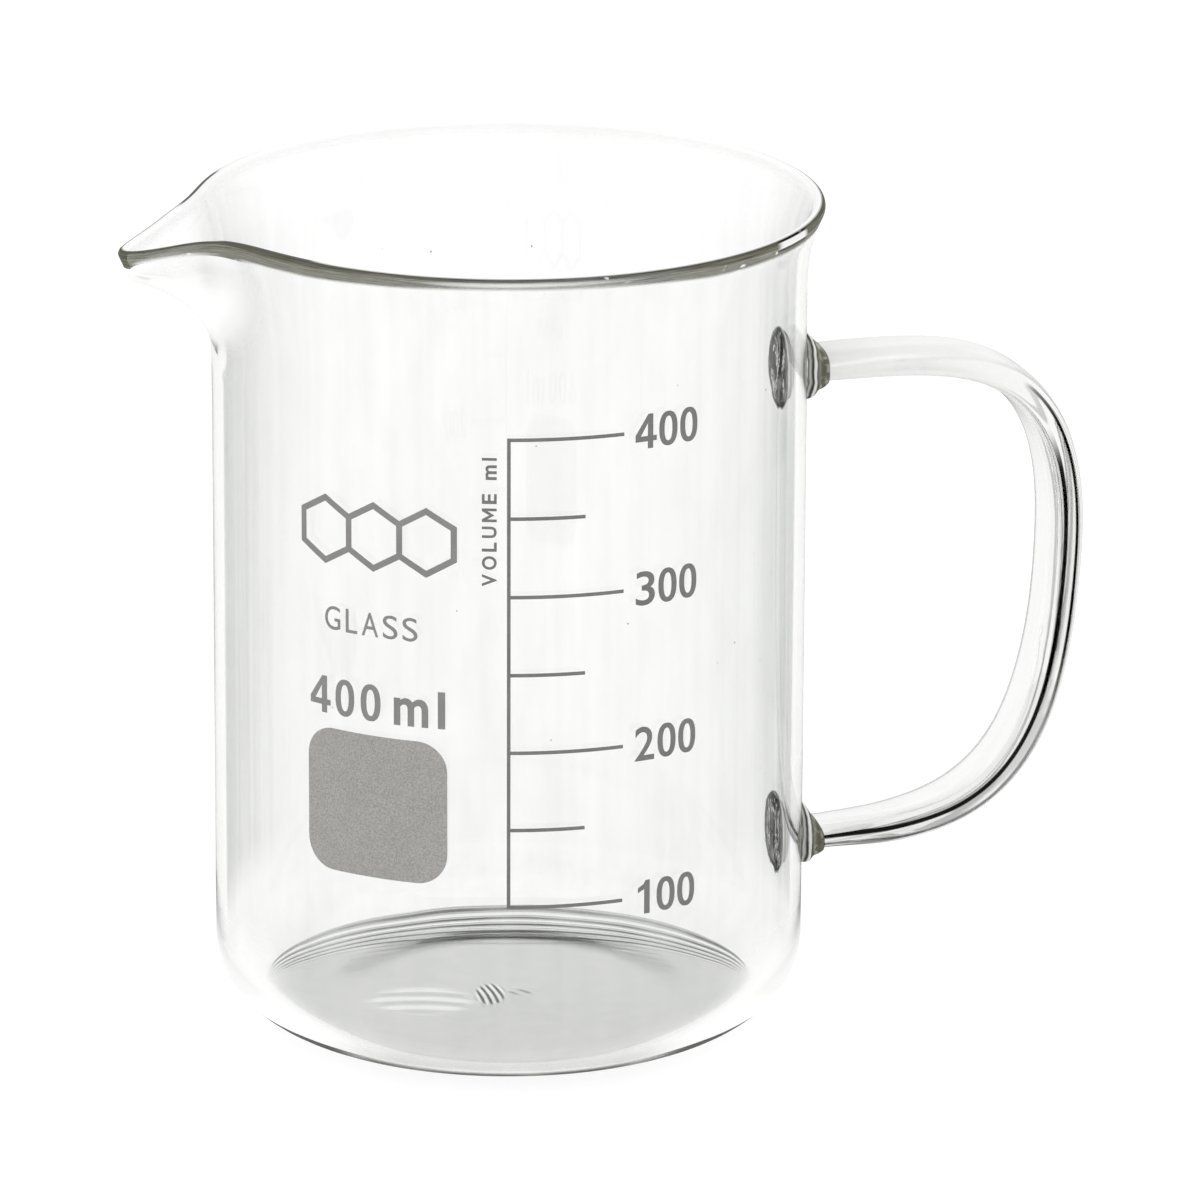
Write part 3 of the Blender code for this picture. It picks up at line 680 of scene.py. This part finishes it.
def glass(name, tint, edge, kind, absorb, density, wave, wave_scale, stretch, rough=0.0):
    """Clear glass, with painted shade where bright-field light leaves it dark and
    painted light and shade laid over it as a diffuse layer.  kind says where: on
    a wall, where the inner face is seen at a glancing angle and round the rim's
    bead; on a strap, along its rounded edges; on a seal, in its folds and on its
    crumpled face."""
    t = Tree(name)
    facing = t.node("ShaderNodeLayerWeight", Blend=0.5).outputs["Facing"]
    back = t.node("ShaderNodeNewGeometry").outputs["Backfacing"]
    front = t.math("SUBTRACT", 1.0, back)

    def times(*values):
        product = values[0]
        for v in values[1:]:
            product = t.math("MULTIPLY", product, v)
        return product

    def band(value, lo, hi, soft):
        return times(t.ramp(value, lo - soft, lo + soft), t.ramp(value, hi - soft, hi + soft, 1.0, 0.0))

    speckle = t.ramp(t.noise(260.0, 3.0, (1, 1, 0.35)), 0.35, 0.75)
    base = t.mix(speckle, tint, tuple(0.985 * c for c in tint))
    if kind == "wall":
        inside = t.attribute("inside")
        way = t.attribute("way")
        coord = t.node("ShaderNodeTexCoord")
        xyz = t.node("ShaderNodeSeparateXYZ")
        t.link(coord.outputs["Object"], xyz.inputs[0])
        radius = t.math("SQRT", t.math("ADD", t.math("MULTIPLY", xyz.outputs["X"], xyz.outputs["X"]),
                                       t.math("MULTIPLY", xyz.outputs["Y"], xyz.outputs["Y"])))
        height = xyz.outputs["Z"]
        upright = t.ramp(height, 0.010, 0.020)
        # draw lines: faint upright streaks in the tube that the wall was made from
        streak = t.noise(310.0, 3.0, (1, 1, 0.012), 0.62)
        cloud = t.noise(34.0, 2.0, (1, 1, 0.4))
        faint = t.math("MULTIPLY", t.math("ADD", t.ramp(streak, 0.42, 0.75), t.ramp(cloud, 0.40, 0.75)), 0.024)
        # painted shade where the inner face is seen at a glancing angle
        graze_shade = times(t.math("POWER", facing, 2.4), front, inside, upright,
                      t.ramp(streak, 0.30, 0.66, 0.72, 1.12), t.ramp(height, 0.098, 0.108, 1.0, 0.45))
        # painted shade along the outer silhouettes
        silhouette_shade = times(t.math("POWER", facing, 7.0), front, t.math("SUBTRACT", 1.0, inside), 0.16)
        # the bead of the rim: painted shade, olive-grey as the glass seen through its length, deeper where it turns
        # away
        depth = t.math("SUBTRACT", way, t.math("MULTIPLY", t.math("MINIMUM", facing, 0.42), 3.9))
        # on one side of the rim the bead's painted shade is shallower and greyer
        greyer = t.math("DIVIDE", t.math("ADD", t.math("MULTIPLY", xyz.outputs["X"], -0.122), t.math("MULTIPLY", xyz.outputs["Y"], -0.9925)), t.math("MAXIMUM", radius, 0.001))
        depth = t.math("ADD", depth, t.ramp(greyer, 0.86, 0.97, 0.0, 0.20))
        outer_band = times(t.ramp(way, -0.75, -0.35), t.ramp(depth, 0.45, 1.20, 1.0, 0.0))
        crest = band(way, -0.10, 0.40, 0.20)
        # painted shade on the foot: its disc, painted grey, the rings where the floor turns up to the far heel, and the
        # mark in the middle
        low = t.ramp(height, 0.0055, 0.0065, 1.0, 0.0)
        # rings where the floor turns up into the heel, painted dark and light as painted shade and light, a crescent of
        # them widest on one side
        aim = t.math("ADD", t.math("MULTIPLY", xyz.outputs["X"], 0.292), t.math("MULTIPLY", xyz.outputs["Y"], 0.956))
        aim = t.math("DIVIDE", aim, t.math("MAXIMUM", radius, 0.001))
        disc_edge = t.math("ADD", t.math("MULTIPLY", t.math("SUBTRACT", 1.0, t.math("MULTIPLY", aim, aim)), 0.9 * MM), DISC_R * MM)
        disc = times(t.ramp(t.math("SUBTRACT", radius, disc_edge), -0.00012, 0.00012, 1.0, 0.0), low, inside)
        crescent = t.math("ADD", t.math("MULTIPLY", t.math("POWER", t.math("MAXIMUM", aim, 0.0), 1.6), 13.2 * MM), 1.2 * MM)
        deep = t.math("DIVIDE", t.math("SUBTRACT", disc_edge, radius), crescent)
        deep = t.math("ADD", deep, t.math("MULTIPLY", t.math("SUBTRACT", t.noise(38.0, 2.0), 0.5), 0.16))
        wave_ring = t.math("SINE", t.math("MULTIPLY", t.math("SUBTRACT", deep, 0.02), 33.0))
        fine_ring = t.math("SINE", t.math("MULTIPLY", deep, 71.0))
        zone = times(t.ramp(deep, -0.02, 0.01), t.ramp(deep, 0.80, 1.10, 1.0, 0.0), t.ramp(aim, 0.02, 0.25), low, inside)
        uneven = t.ramp(t.noise(52.0, 2.0), 0.30, 0.62, 0.40, 1.0)
        dark_ring = times(t.math("MAXIMUM", t.ramp(wave_ring, 0.30, 0.95), times(t.ramp(fine_ring, 0.55, 0.98), 0.5)), zone, uneven)
        light_ring = times(t.ramp(wave_ring, -0.30, -0.85), zone)
        # the mark in the middle, where the foot was closed, with its light and shade painted: four light lens-shaped
        #  strands, a tight dark pleat at their end and a wisp beyond it
        c, s_ = math.cos(SCAR_TURN), math.sin(SCAR_TURN)
        along_mark = t.math("ADD", t.math("MULTIPLY", xyz.outputs["X"], c / MM), t.math("MULTIPLY", xyz.outputs["Y"], s_ / MM))
        across_mark = t.math("ADD", t.math("MULTIPLY", xyz.outputs["X"], -s_ / MM), t.math("MULTIPLY", xyz.outputs["Y"], c / MM))

        def patch(a0, half_a, b0, half_b, full, none):
            u = t.math("MULTIPLY", t.math("SUBTRACT", along_mark, a0), 1 / half_a)
            v = t.math("MULTIPLY", t.math("SUBTRACT", across_mark, b0), 1 / half_b)
            e = t.math("SQRT", t.math("ADD", t.math("MULTIPLY", u, u), t.math("MULTIPLY", v, v)))
            return times(t.ramp(e, full, none, 1.0, 0.0), low, inside)

        u = t.math("ADD", along_mark, 11.8)
        bend = t.math("MULTIPLY", t.math("MULTIPLY", u, u), 0.030)
        strand = t.math("SINE", t.math("MULTIPLY", t.math("ADD", t.math("ADD", across_mark, 6.3), bend), 1.55))
        lens = patch(-11.8, 8.2, -6.4, 7.2, 0.66, 1.02)
        lens_light = times(t.ramp(strand, -0.20, 0.55), lens)
        lens_dark = times(t.ramp(strand, -0.55, -0.95), lens, 0.48)
        stripe = t.math("SINE", t.math("ADD", t.math("MULTIPLY", t.math("ADD", along_mark, 2.6), 6.4),
                                       t.math("ADD", t.math("MULTIPLY", across_mark, 2.0),
                                              t.math("MULTIPLY", t.math("MULTIPLY", across_mark, across_mark), 0.09))))
        knot = patch(-2.5, 2.3, -3.3, 5.0, 0.70, 1.05)
        knot_dark = times(t.ramp(stripe, -0.05, -0.65), knot)
        knot_light = times(t.ramp(stripe, 0.15, 0.70), knot)
        wisp = times(patch(1.7, 2.9, -2.2, 2.2, 0.30, 1.0), t.ramp(t.math("SINE", t.math("ADD", t.math("MULTIPLY", along_mark, 2.8), t.math("MULTIPLY", across_mark, 2.4))), -0.3, 0.5), 0.75)
        clear = t.math("MAXIMUM", light_ring, t.math("MAXIMUM", lens_light, knot_light))
        foot = times(disc, 0.33, t.math("SUBTRACT", 1.0, times(clear, 0.95)))
        darker = t.math("MAXIMUM", times(dark_ring, 0.5), t.math("MAXIMUM", lens_dark, wisp))
        foot = t.math("MAXIMUM", foot, darker)
        # painted shade: the dark rings and the dark pleat
        painted_dark_lines = t.math("MAXIMUM", times(dark_ring, 0.80), times(knot_dark, 0.84))
        # painted shade on the near side of the heel, low down
        near_heel = times(t.ramp(aim, -0.55, -0.80), front, t.math("SUBTRACT", 1.0, inside), t.ramp(height, 0.0036, 0.0058, 1.0, 0.0), 0.20)
        foot = t.math("MAXIMUM", foot, near_heel)
        outward = t.math("SUBTRACT", 1.0, inside)
        # a painted dark line and a painted light line low on the outside of the heel, on its near side
        bottom_shade_line = times(t.ramp(facing, 0.70, 0.82), front, t.ramp(height, 0.0024, 0.0036, 1.0, 0.0), outward,
                    t.ramp(t.noise(95.0, 2.0), 0.30, 0.60, 0.40, 0.82), t.ramp(aim, -0.25, -0.70, 0.0, 1.0))
        bottom_light_line = times(band(facing, 0.60, 0.72, 0.03), front, t.ramp(height, 0.0020, 0.0030, 1.0, 0.0), outward, t.ramp(aim, -0.30, -0.60), 0.8)
        # crumpled glass where the handle is fused on; its look is painted in light and shade: dark patches, black
        # crease lines, white glint lines and a dark rim round it
        weld = None
        for level in (87.3, 21.0):
            up_by = t.math("MULTIPLY", t.math("SUBTRACT", height, level * MM), 1 / (5.6 * MM))
            across_by = t.math("MULTIPLY", t.math("ADD", xyz.outputs["Y"], 2.2 * MM), 1 / (4.9 * MM))
            far_out = t.math("SQRT", t.math("ADD", t.math("MULTIPLY", up_by, up_by), t.math("MULTIPLY", across_by, across_by)))
            far_out = t.math("ADD", far_out, t.math("MULTIPLY", t.math("SUBTRACT", t.noise(260.0, 2.0), 0.5), 0.5))
            one_weld = times(t.ramp(far_out, 0.92, 1.02, 1.0, 0.0), t.ramp(xyz.outputs["X"], 0.020, 0.025))
            weld = one_weld if weld is None else t.math("MAXIMUM", weld, one_weld)
            rim_line = times(band(far_out, 0.86, 1.00, 0.05), t.ramp(xyz.outputs["X"], 0.020, 0.025))
            weld_rim = rim_line if level == 87.3 else t.math("MAXIMUM", weld_rim, rim_line)
        crumple = t.noise(560.0, 4.0, (1, 1, 0.38), 0.62)
        crease_shade_lines = t.ramp(t.math("ABSOLUTE", t.math("SUBTRACT", crumple, 0.5)), 0.020, 0.050, 1.0, 0.0)
        patches = t.ramp(t.noise(330.0, 3.0, (1, 1, 0.5), 0.6), 0.40, 0.58)
        second = t.noise(620.0, 4.0, (1, 1, 0.30), 0.62)
        glint_lines = t.ramp(t.math("ABSOLUTE", t.math("SUBTRACT", second, 0.57)), 0.008, 0.024, 1.0, 0.0)
        weld_colour = t.mix(patches, (0.015, 0.015, 0.013), (0.30, 0.30, 0.29))
        weld_colour = t.mix(crease_shade_lines, weld_colour, (0.0, 0.0, 0.0))
        weld_colour = t.mix(glint_lines, weld_colour, (0.95, 0.95, 0.94))
        weld_colour = t.mix(weld_rim, weld_colour, (0.03, 0.03, 0.028))
        weld_cover = times(weld, inside, front, 0.96)
        near_weld = times(t.ramp(height, 0.010, 0.014), t.ramp(height, 0.036, 0.040, 1.0, 0.0))
        near_weld = t.math("MAXIMUM", near_weld, times(t.ramp(height, 0.078, 0.083), t.ramp(height, 0.101, 0.105, 1.0, 0.0)))
        sideways = t.math("SUBTRACT", times(xyz.outputs["X"], 0.956), times(xyz.outputs["Y"], 0.292))
        near_weld = times(near_weld, t.ramp(sideways, 0.0335, 0.0355))
        # the bead's olive band and its darker crest, painted shade, and its glints, painted highlights
        olive_cover = times(outer_band, front, t.ramp(way, 0.00, 0.14), 0.88)
        glint = times(t.ramp(t.noise(420.0, 2.0, (1, 1, 2.4), 0.5), 0.66, 0.72), t.ramp(t.noise(45.0, 1.0), 0.48, 0.58))
        olive_colour = t.mix(t.noise(210.0, 3.0, (1, 1, 1), 0.6), (0.115, 0.115, 0.082), (0.225, 0.225, 0.178))
        olive_colour = t.mix(times(t.ramp(greyer, 0.895, 0.965), 0.8), olive_colour, (0.22, 0.22, 0.212))
        # fine dark and light streaks that run along the bead, painted into its shade
        lie = t.node("ShaderNodeCombineXYZ")
        t.link(times(xyz.outputs["X"], 130.0), lie.inputs["X"])
        t.link(times(xyz.outputs["Y"], 130.0), lie.inputs["Y"])
        t.link(times(way, 9.0), lie.inputs["Z"])
        drawn = t.node("ShaderNodeTexNoise")
        drawn.inputs["Scale"].default_value = 1.0
        drawn.inputs["Detail"].default_value = 3.0
        drawn.inputs["Roughness"].default_value = 0.6
        t.link(lie.outputs[0], drawn.inputs["Vector"])
        drawn = drawn.outputs[0]
        olive_colour = t.mix(t.ramp(drawn, 0.50, 0.60), olive_colour, (0.085, 0.085, 0.066))
        olive_colour = t.mix(t.ramp(drawn, 0.40, 0.32), olive_colour, (0.30, 0.30, 0.25))
        olive_colour = t.mix(times(crest, 0.55), olive_colour, (0.075, 0.075, 0.060))
        # a short stretch of the bead painted as a white highlight between black lines: a painted reflection
        bright = t.math("DIVIDE", t.math("ADD", t.math("MULTIPLY", xyz.outputs["X"], 0.719), t.math("MULTIPLY", xyz.outputs["Y"], -0.695)), t.math("MAXIMUM", radius, 0.001))
        bright = t.ramp(bright, 0.9935, 0.9975)
        olive_colour = t.mix(times(bright, t.math("MAXIMUM", band(way, 0.0, 0.34, 0.05), band(way, 1.35, 1.75, 0.08))), olive_colour, (0.012, 0.012, 0.010))
        olive_colour = t.mix(times(bright, band(way, 0.38, 1.25, 0.06)), olive_colour, (0.97, 0.97, 0.96))
        olive_colour = t.mix(glint, olive_colour, (0.80, 0.80, 0.76))
        # the sides of the heel and the spout's underside, painted white as painted light
        heel_side = times(t.ramp(aim, -0.93, -0.74), t.ramp(height, 0.008, 0.020, 1.0, 0.0), t.ramp(facing, 0.34, 0.56), 0.92)
        under = times(t.ramp(t.attribute("spout"), 0.03, 0.22), t.ramp(facing, 0.05, 0.40), t.ramp(way, 1.5, 2.1), 0.95)
        pale_cover = times(t.math("MAXIMUM", heel_side, under), front, outward)
        pale_cover = t.math("MAXIMUM", pale_cover, bottom_light_line)
        # the inner shoulder of the bead, painted white as painted light, with one fine painted dark line along it
        shoulder = times(t.ramp(way, -2.9, -0.8), t.ramp(way, 0.02, 0.16, 1.0, 0.0), front, 0.88)
        spout = t.attribute("spout")
        lip = times(t.ramp(spout, 0.0008, 0.004), t.ramp(spout, 0.24, 0.42, 1.0, 0.0))
        fine_line = t.math("MAXIMUM", band(way, -0.16, 0.04, 0.05), times(band(way, -0.42, 0.08, 0.06), lip))
        # how much painted light and shade lies over the glass, and its colour
        painted_veil_amount = t.math("MAXIMUM", weld_cover, t.math("MAXIMUM", olive_cover, t.math("MAXIMUM", pale_cover, t.math("MAXIMUM", shoulder, t.math("MAXIMUM", painted_dark_lines, bottom_shade_line)))))
        painted_veil_colour = t.mix(t.math("GREATER_THAN", under, 0.02), (1.0, 1.0, 0.995),
                             t.mix(t.ramp(t.attribute("spout"), 0.06, 0.40), (0.80, 0.80, 0.795), (1.0, 1.0, 0.995)))
        painted_veil_colour = t.mix(t.math("GREATER_THAN", weld_cover, 0.02), painted_veil_colour, weld_colour)
        painted_veil_colour = t.mix(times(shoulder, fine_line), painted_veil_colour, t.mix(lip, (0.42, 0.42, 0.40), (0.02, 0.02, 0.018)))
        painted_veil_colour = t.mix(t.math("GREATER_THAN", olive_cover, 0.05), painted_veil_colour, olive_colour)
        painted_veil_colour = t.mix(t.math("GREATER_THAN", t.math("MAXIMUM", bottom_shade_line, painted_dark_lines), 0.05), painted_veil_colour, (0.075, 0.075, 0.07))
        amount = t.math("MAXIMUM", times(graze_shade, 1.02), t.math("MAXIMUM", silhouette_shade, t.math("MAXIMUM", foot, faint)))
        colour = t.mix(amount, base, edge)
    elif kind == "strap":
        across = t.attribute("across")
        along = t.attribute("along")
        # painted shade: dark lines along the strap's two rounded edges, on its near faces and, weaker, seen through on
        # its far faces
        lines = None
        for lo, hi, start, full, after in ((0.60, 1.04, 0.275, 0.30, 0.60), (-1.10, -0.52, 0.34, 0.40, 1.0)):
            one_line = times(band(across, lo, hi, 0.09), t.ramp(along, start, full), t.ramp(along, 0.56, 0.64, 1.0, after))
            lines = one_line if lines is None else t.math("MAXIMUM", lines, one_line)
        near = times(lines, front)
        far = times(lines, back, 0.40)
        # painted shade along the silhouettes
        silhouette_shade = times(t.math("POWER", facing, 7.0), front, 0.75)
        amount = t.math("MAXIMUM", t.math("MAXIMUM", near, far), silhouette_shade)
        colour = t.mix(amount, base, edge)
        # the upper run painted light grey as painted shade
        painted_veil_amount = times(front, t.ramp(along, 0.22, 0.35, 1.0, 0.0), t.ramp(facing, 0.93, 0.985, 1.0, 0.0), 0.78)
        painted_veil_colour = t.mix(t.noise(900.0, 3.0, (1, 1, 1), 0.6), (0.86, 0.86, 0.855), (0.93, 0.93, 0.925))
    else:
        reach = t.attribute("reach")
        crumple = t.noise(560.0, 4.0, (1, 1, 0.38), 0.62)
        vein = t.math("ABSOLUTE", t.math("SUBTRACT", crumple, 0.5))
        crease_shade_lines = t.ramp(vein, 0.020, 0.050, 1.0, 0.0)
        patches = t.ramp(t.noise(300.0, 2.0), 0.42, 0.60)
        weld = t.ramp(reach, 0.0, 0.02, 1.0, 0.0)
        # painted shade: dark crease lines on the crumpled face, darker folds, faces turned away and the silhouettes
        weld_dark = times(weld, times(crease_shade_lines, 0.8))
        folds = t.math("SINE", t.math("MULTIPLY", t.math("ADD", reach, times(crumple, 0.10)), 16.0))
        folds = times(t.ramp(folds, 0.15, 0.75), t.ramp(reach, 0.03, 0.12), 0.62)
        turned = times(t.ramp(facing, 0.24, 0.34), back, 0.35)
        silhouette_shade = times(t.math("POWER", facing, 5.0), front, 0.45)
        amount = t.math("MAXIMUM", t.math("MAXIMUM", times(turned, 0.5), silhouette_shade), t.math("MAXIMUM", weld_dark, times(folds, 0.5)))
        colour = t.mix(amount, base, edge)
        # painted light and shade in bands round the collar: white at the wall, dark, light, and a wide olive one at the
        # strap
        turn = t.math("ADD", reach, times(t.math("SUBTRACT", t.noise(330.0, 2.0), 0.5), 0.22))
        collar = t.mix(t.ramp(turn, 0.16, 0.22), (0.93, 0.93, 0.92), (0.045, 0.045, 0.038))
        collar = t.mix(band(turn, 0.27, 0.36, 0.03), collar, (0.42, 0.42, 0.39))
        collar = t.mix(band(turn, 0.44, 0.53, 0.02), collar, (0.88, 0.88, 0.86))
        collar = t.mix(t.ramp(turn, 0.58, 0.64), collar, (0.125, 0.125, 0.085))
        # lighter mottling painted into the olive band
        mottle = t.ramp(t.noise(800.0, 3.0, (1, 1, 1), 0.6), 0.46, 0.66)
        collar = t.mix(times(t.ramp(turn, 0.62, 0.68), mottle), collar, (0.42, 0.42, 0.35))
        collar = t.mix(t.ramp(turn, 0.93, 0.97), collar, (0.03, 0.03, 0.026))
        # the crumpled face painted pale, with dark crease lines, as painted light and shade
        back_face = t.mix(crease_shade_lines, (0.80, 0.80, 0.79), (0.06, 0.06, 0.055))
        painted_veil_amount = times(front, t.ramp(reach, 0.0, 0.04, 0.70, 0.86))
        painted_veil_colour = t.mix(t.ramp(reach, 0.01, 0.04), back_face, collar)
    # a few seeds: bubbles and specks no larger than a full stop
    seeds = t.node("ShaderNodeTexVoronoi", feature="F1")
    seeds.inputs["Scale"].default_value = 110.0
    t.link(t.place(), seeds.inputs["Vector"])
    seed = times(t.ramp(seeds.outputs["Distance"], 0.010, 0.018, 1.0, 0.0), 0.75)
    colour = t.mix(seed, colour, (0.04, 0.04, 0.04))
    shader = t.node("ShaderNodeBsdfGlass")
    shader.distribution = "MULTI_GGX"
    t.feed(shader.inputs["Color"], colour)
    shader.inputs["IOR"].default_value = 1.473
    t.feed(shader.inputs["Roughness"], rough)
    bumps = t.noise(wave_scale, 1.5, stretch)
    t.link(t.bump(bumps, 1.0, wave), shader.inputs["Normal"])
    if kind == "wall":
        clear_side = t.node("ShaderNodeBsdfRefraction")
        clear_side.distribution = "BECKMANN"
        t.feed(clear_side.inputs["Color"], colour)
        clear_side.inputs["IOR"].default_value = 1.473
        t.feed(clear_side.inputs["Roughness"], rough)
        t.link(shader.inputs["Normal"].links[0].from_socket, clear_side.inputs["Normal"])
        softer = t.node("ShaderNodeMixShader")
        t.feed(softer.inputs[0], t.math("MAXIMUM", times(front, 0.62), times(near_weld, t.math("MAXIMUM", front, t.ramp(facing, 0.238, 0.255, 1.0, 0.0)), 0.94)))
        t.link(shader.outputs[0], softer.inputs[1])
        t.link(clear_side.outputs[0], softer.inputs[2])
        shader = softer
    # painted light and shade laid over the glass as a diffuse layer
    painted_veil_shader = t.node("ShaderNodeBsdfDiffuse")
    t.feed(painted_veil_shader.inputs["Color"], painted_veil_colour)
    both = t.node("ShaderNodeMixShader")
    t.feed(both.inputs[0], painted_veil_amount)
    t.link(shader.outputs[0], both.inputs[1])
    t.link(painted_veil_shader.outputs[0], both.inputs[2])
    t.link(both.outputs[0], t.out.inputs["Surface"])
    volume = t.node("ShaderNodeVolumeAbsorption")
    volume.inputs["Color"].default_value = (*absorb, 1.0)
    volume.inputs["Density"].default_value = density
    t.link(volume.outputs[0], t.out.inputs["Volume"])
    return t.mat


def enamel(name, dark, light, grain, rough, cloudy=0.3):
    t = Tree(name)
    fine = t.noise(grain, 4.0, rough=0.7)
    cloud = t.noise(220.0, 2.0)
    value = t.math("ADD", t.math("MULTIPLY", fine, 1.0 - cloudy), t.math("MULTIPLY", cloud, cloudy))
    colour = t.mix(t.ramp(value, 0.32, 0.68), dark, light)
    shader = t.node("ShaderNodeBsdfPrincipled")
    t.link(colour, shader.inputs["Base Color"])
    t.link(t.ramp(fine, 0.3, 0.7, rough - 0.06, rough + 0.06), shader.inputs["Roughness"])
    shader.inputs["IOR"].default_value = 1.5
    t.link(t.bump(fine, 0.35, 0.00002), shader.inputs["Normal"])
    t.link(shader.outputs[0], t.out.inputs["Surface"])
    return t.mat


GLASS_WALL = glass("borosilicate_wall", (0.985, 0.987, 0.984), (0.30, 0.31, 0.29), "wall",
                   (0.50, 0.52, 0.47), 9.0, 0.00002, 60.0, (1, 1, 0.12))
GLASS_STRAP = glass("borosilicate_strap", (0.972, 0.972, 0.970), (0.015, 0.015, 0.015), "strap",
                    (0.50, 0.51, 0.48), 14.0, 0.00002, 420.0, (1, 1, 1))
GLASS_SEAL = glass("borosilicate_seal", (0.93, 0.935, 0.915), (0.02, 0.02, 0.018), "seal",
                   (0.45, 0.49, 0.36), 30.0, 0.00006, 900.0, (1, 1, 1))
ENAMEL = enamel("fired_enamel", (0.125, 0.124, 0.119), (0.195, 0.193, 0.186), 5200.0, 0.55)
ENAMEL_THIN = enamel("fired_enamel_thin", (0.190, 0.189, 0.182), (0.260, 0.258, 0.250), 5200.0, 0.55)
ENAMEL_PATCH = enamel("fired_enamel_patch", (0.255, 0.248, 0.235), (0.420, 0.410, 0.392), 4300.0, 0.78, 0.06)


# ---- pieces ---------------------------------------------------------------
def piece(name, mesh, mat, slot, *nodes):
    obj = add_object(name, mesh)
    obj.data.materials.clear()
    obj.data.materials.append(mat)
    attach(obj, "root")
    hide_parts(*nodes)
    return obj


piece("vessel_glass", vessel_mesh(), GLASS_WALL, "glass_wall", "vessel")
piece("handle_glass", handle_mesh(), GLASS_STRAP, "glass_strap", "handle")
piece("upper_seal_glass", seal_mesh("upper_seal_glass", 87.3, 87.25, 0.0, 1.7), GLASS_SEAL, "glass_seal", "upper_seal")
piece("lower_seal_glass", seal_mesh("lower_seal_glass", 21.0, 20.0, 1.0, 7.3), GLASS_SEAL, "glass_seal", "lower_seal")
for node, mesh in print_meshes():
    patch = node == "marking_patch"
    thin = node.startswith("capacity") or node.startswith("glass") or node == "emblem"
    piece(node + "_enamel", mesh, ENAMEL_PATCH if patch else ENAMEL_THIN if thin else ENAMEL,
          "enamel_patch" if patch else "enamel_print", node)


# ---- floor, light and camera ----------------------------------------------
def floor():
    bm = bmesh.new()
    rings = [0.0, 0.25, 0.6, 1.5, 4.0, 12.0, 40.0]
    rows = []
    for r in rings[1:]:
        rows.append([bm.verts.new((r * math.cos(math.tau * i / 48), r * math.sin(math.tau * i / 48), 0.0))
                     for i in range(48)])
    centre = bm.verts.new((0.0, 0.0, 0.0))
    for i in range(48):
        bm.faces.new((centre, rows[0][i], rows[0][(i + 1) % 48]))
    for a, b in zip(rows, rows[1:]):
        for i in range(48):
            j = (i + 1) % 48
            bm.faces.new((a[i], b[i], b[j], a[j]))
    mesh = bpy.data.meshes.new("studio_floor")
    bm.to_mesh(mesh)
    bm.free()
    obj = add_object("studio_floor", mesh)
    obj.location.z = -0.00002
    t = Tree("floor_white")
    shader = t.node("ShaderNodeBsdfPrincipled")
    grain = t.noise(90.0, 2.0)
    t.link(t.mix(grain, (0.205, 0.205, 0.205), (0.215, 0.215, 0.215)), shader.inputs["Base Color"])
    shader.inputs["Emission Color"].default_value = (1.0, 1.0, 1.0, 1.0)
    shader.inputs["Emission Strength"].default_value = 0.86
    shader.inputs["Roughness"].default_value = 0.9
    shader.inputs["Specular IOR Level"].default_value = 0.1
    t.link(shader.outputs[0], t.out.inputs["Surface"])
    obj.data.materials.append(t.mat)


floor()

# A white sweep up to just over the horizon, a dark ring above it, and a large
# soft light overhead: the bright-field light that suits clear glass.
world = bpy.data.worlds.new("studio")
bpy.context.scene.world = world
world.use_nodes = True
nt = world.node_tree
nt.nodes.clear()
coord = nt.nodes.new("ShaderNodeTexCoord")
split = nt.nodes.new("ShaderNodeSeparateXYZ")
ramp = nt.nodes.new("ShaderNodeValToRGB")
gain = nt.nodes.new("ShaderNodeBackground")
out = nt.nodes.new("ShaderNodeOutputWorld")
nt.links.new(coord.outputs["Generated"], split.inputs[0])
nt.links.new(split.outputs["Z"], ramp.inputs[0])
nt.links.new(ramp.outputs["Color"], gain.inputs["Color"])
nt.links.new(gain.outputs[0], out.inputs["Surface"])
PEAK = 1.35
stops = [(0.0, 1.0), (0.46, 1.0), (0.52, 0.72), (0.70, 0.72), (0.74, PEAK), (1.0, PEAK)]
ramp.color_ramp.interpolation = "LINEAR"
ramp.color_ramp.elements[0].position = 0.0
ramp.color_ramp.elements[1].position = 1.0
while len(ramp.color_ramp.elements) < len(stops):
    ramp.color_ramp.elements.new(0.5)
for element, (position, level) in zip(ramp.color_ramp.elements, stops):
    element.position = position
for element, (position, level) in zip(ramp.color_ramp.elements, stops):
    element.position = position
    v = level / PEAK
    element.color = (v, v, v, 1.0)
gain.inputs["Strength"].default_value = PEAK

cam_data = bpy.data.cameras.new("camera")
cam_data.sensor_width = 36.0
cam_data.lens = 278.25
cam_data.clip_start, cam_data.clip_end = 0.01, 100.0
cam = bpy.data.objects.new("camera", cam_data)
bpy.context.scene.collection.objects.link(cam)
pan, pitch, roll = math.radians(0.59), math.radians(17.27), math.radians(0.22)
forward = Vector((math.sin(pan) * math.cos(pitch), math.cos(pan) * math.cos(pitch), -math.sin(pitch)))
right = Vector((math.cos(pan), -math.sin(pan), 0.0))
up = right.cross(forward)
right2 = math.cos(roll) * right + math.sin(roll) * up
up2 = -math.sin(roll) * right + math.cos(roll) * up
axes = Matrix((right2, up2, -forward)).transposed().to_4x4()
spin = Matrix.Rotation(math.radians(-17.0), 4, "Z")
cam.matrix_world = spin @ Matrix.Translation((0.0, -1.2, 0.4304)) @ axes
bpy.context.scene.camera = cam

scene = bpy.context.scene
scene.view_settings.view_transform = "Standard"
scene.view_settings.look = "None"
scene.cycles.max_bounces = 24
scene.cycles.transmission_bounces = 24
scene.cycles.glossy_bounces = 12
scene.cycles.transparent_max_bounces = 16
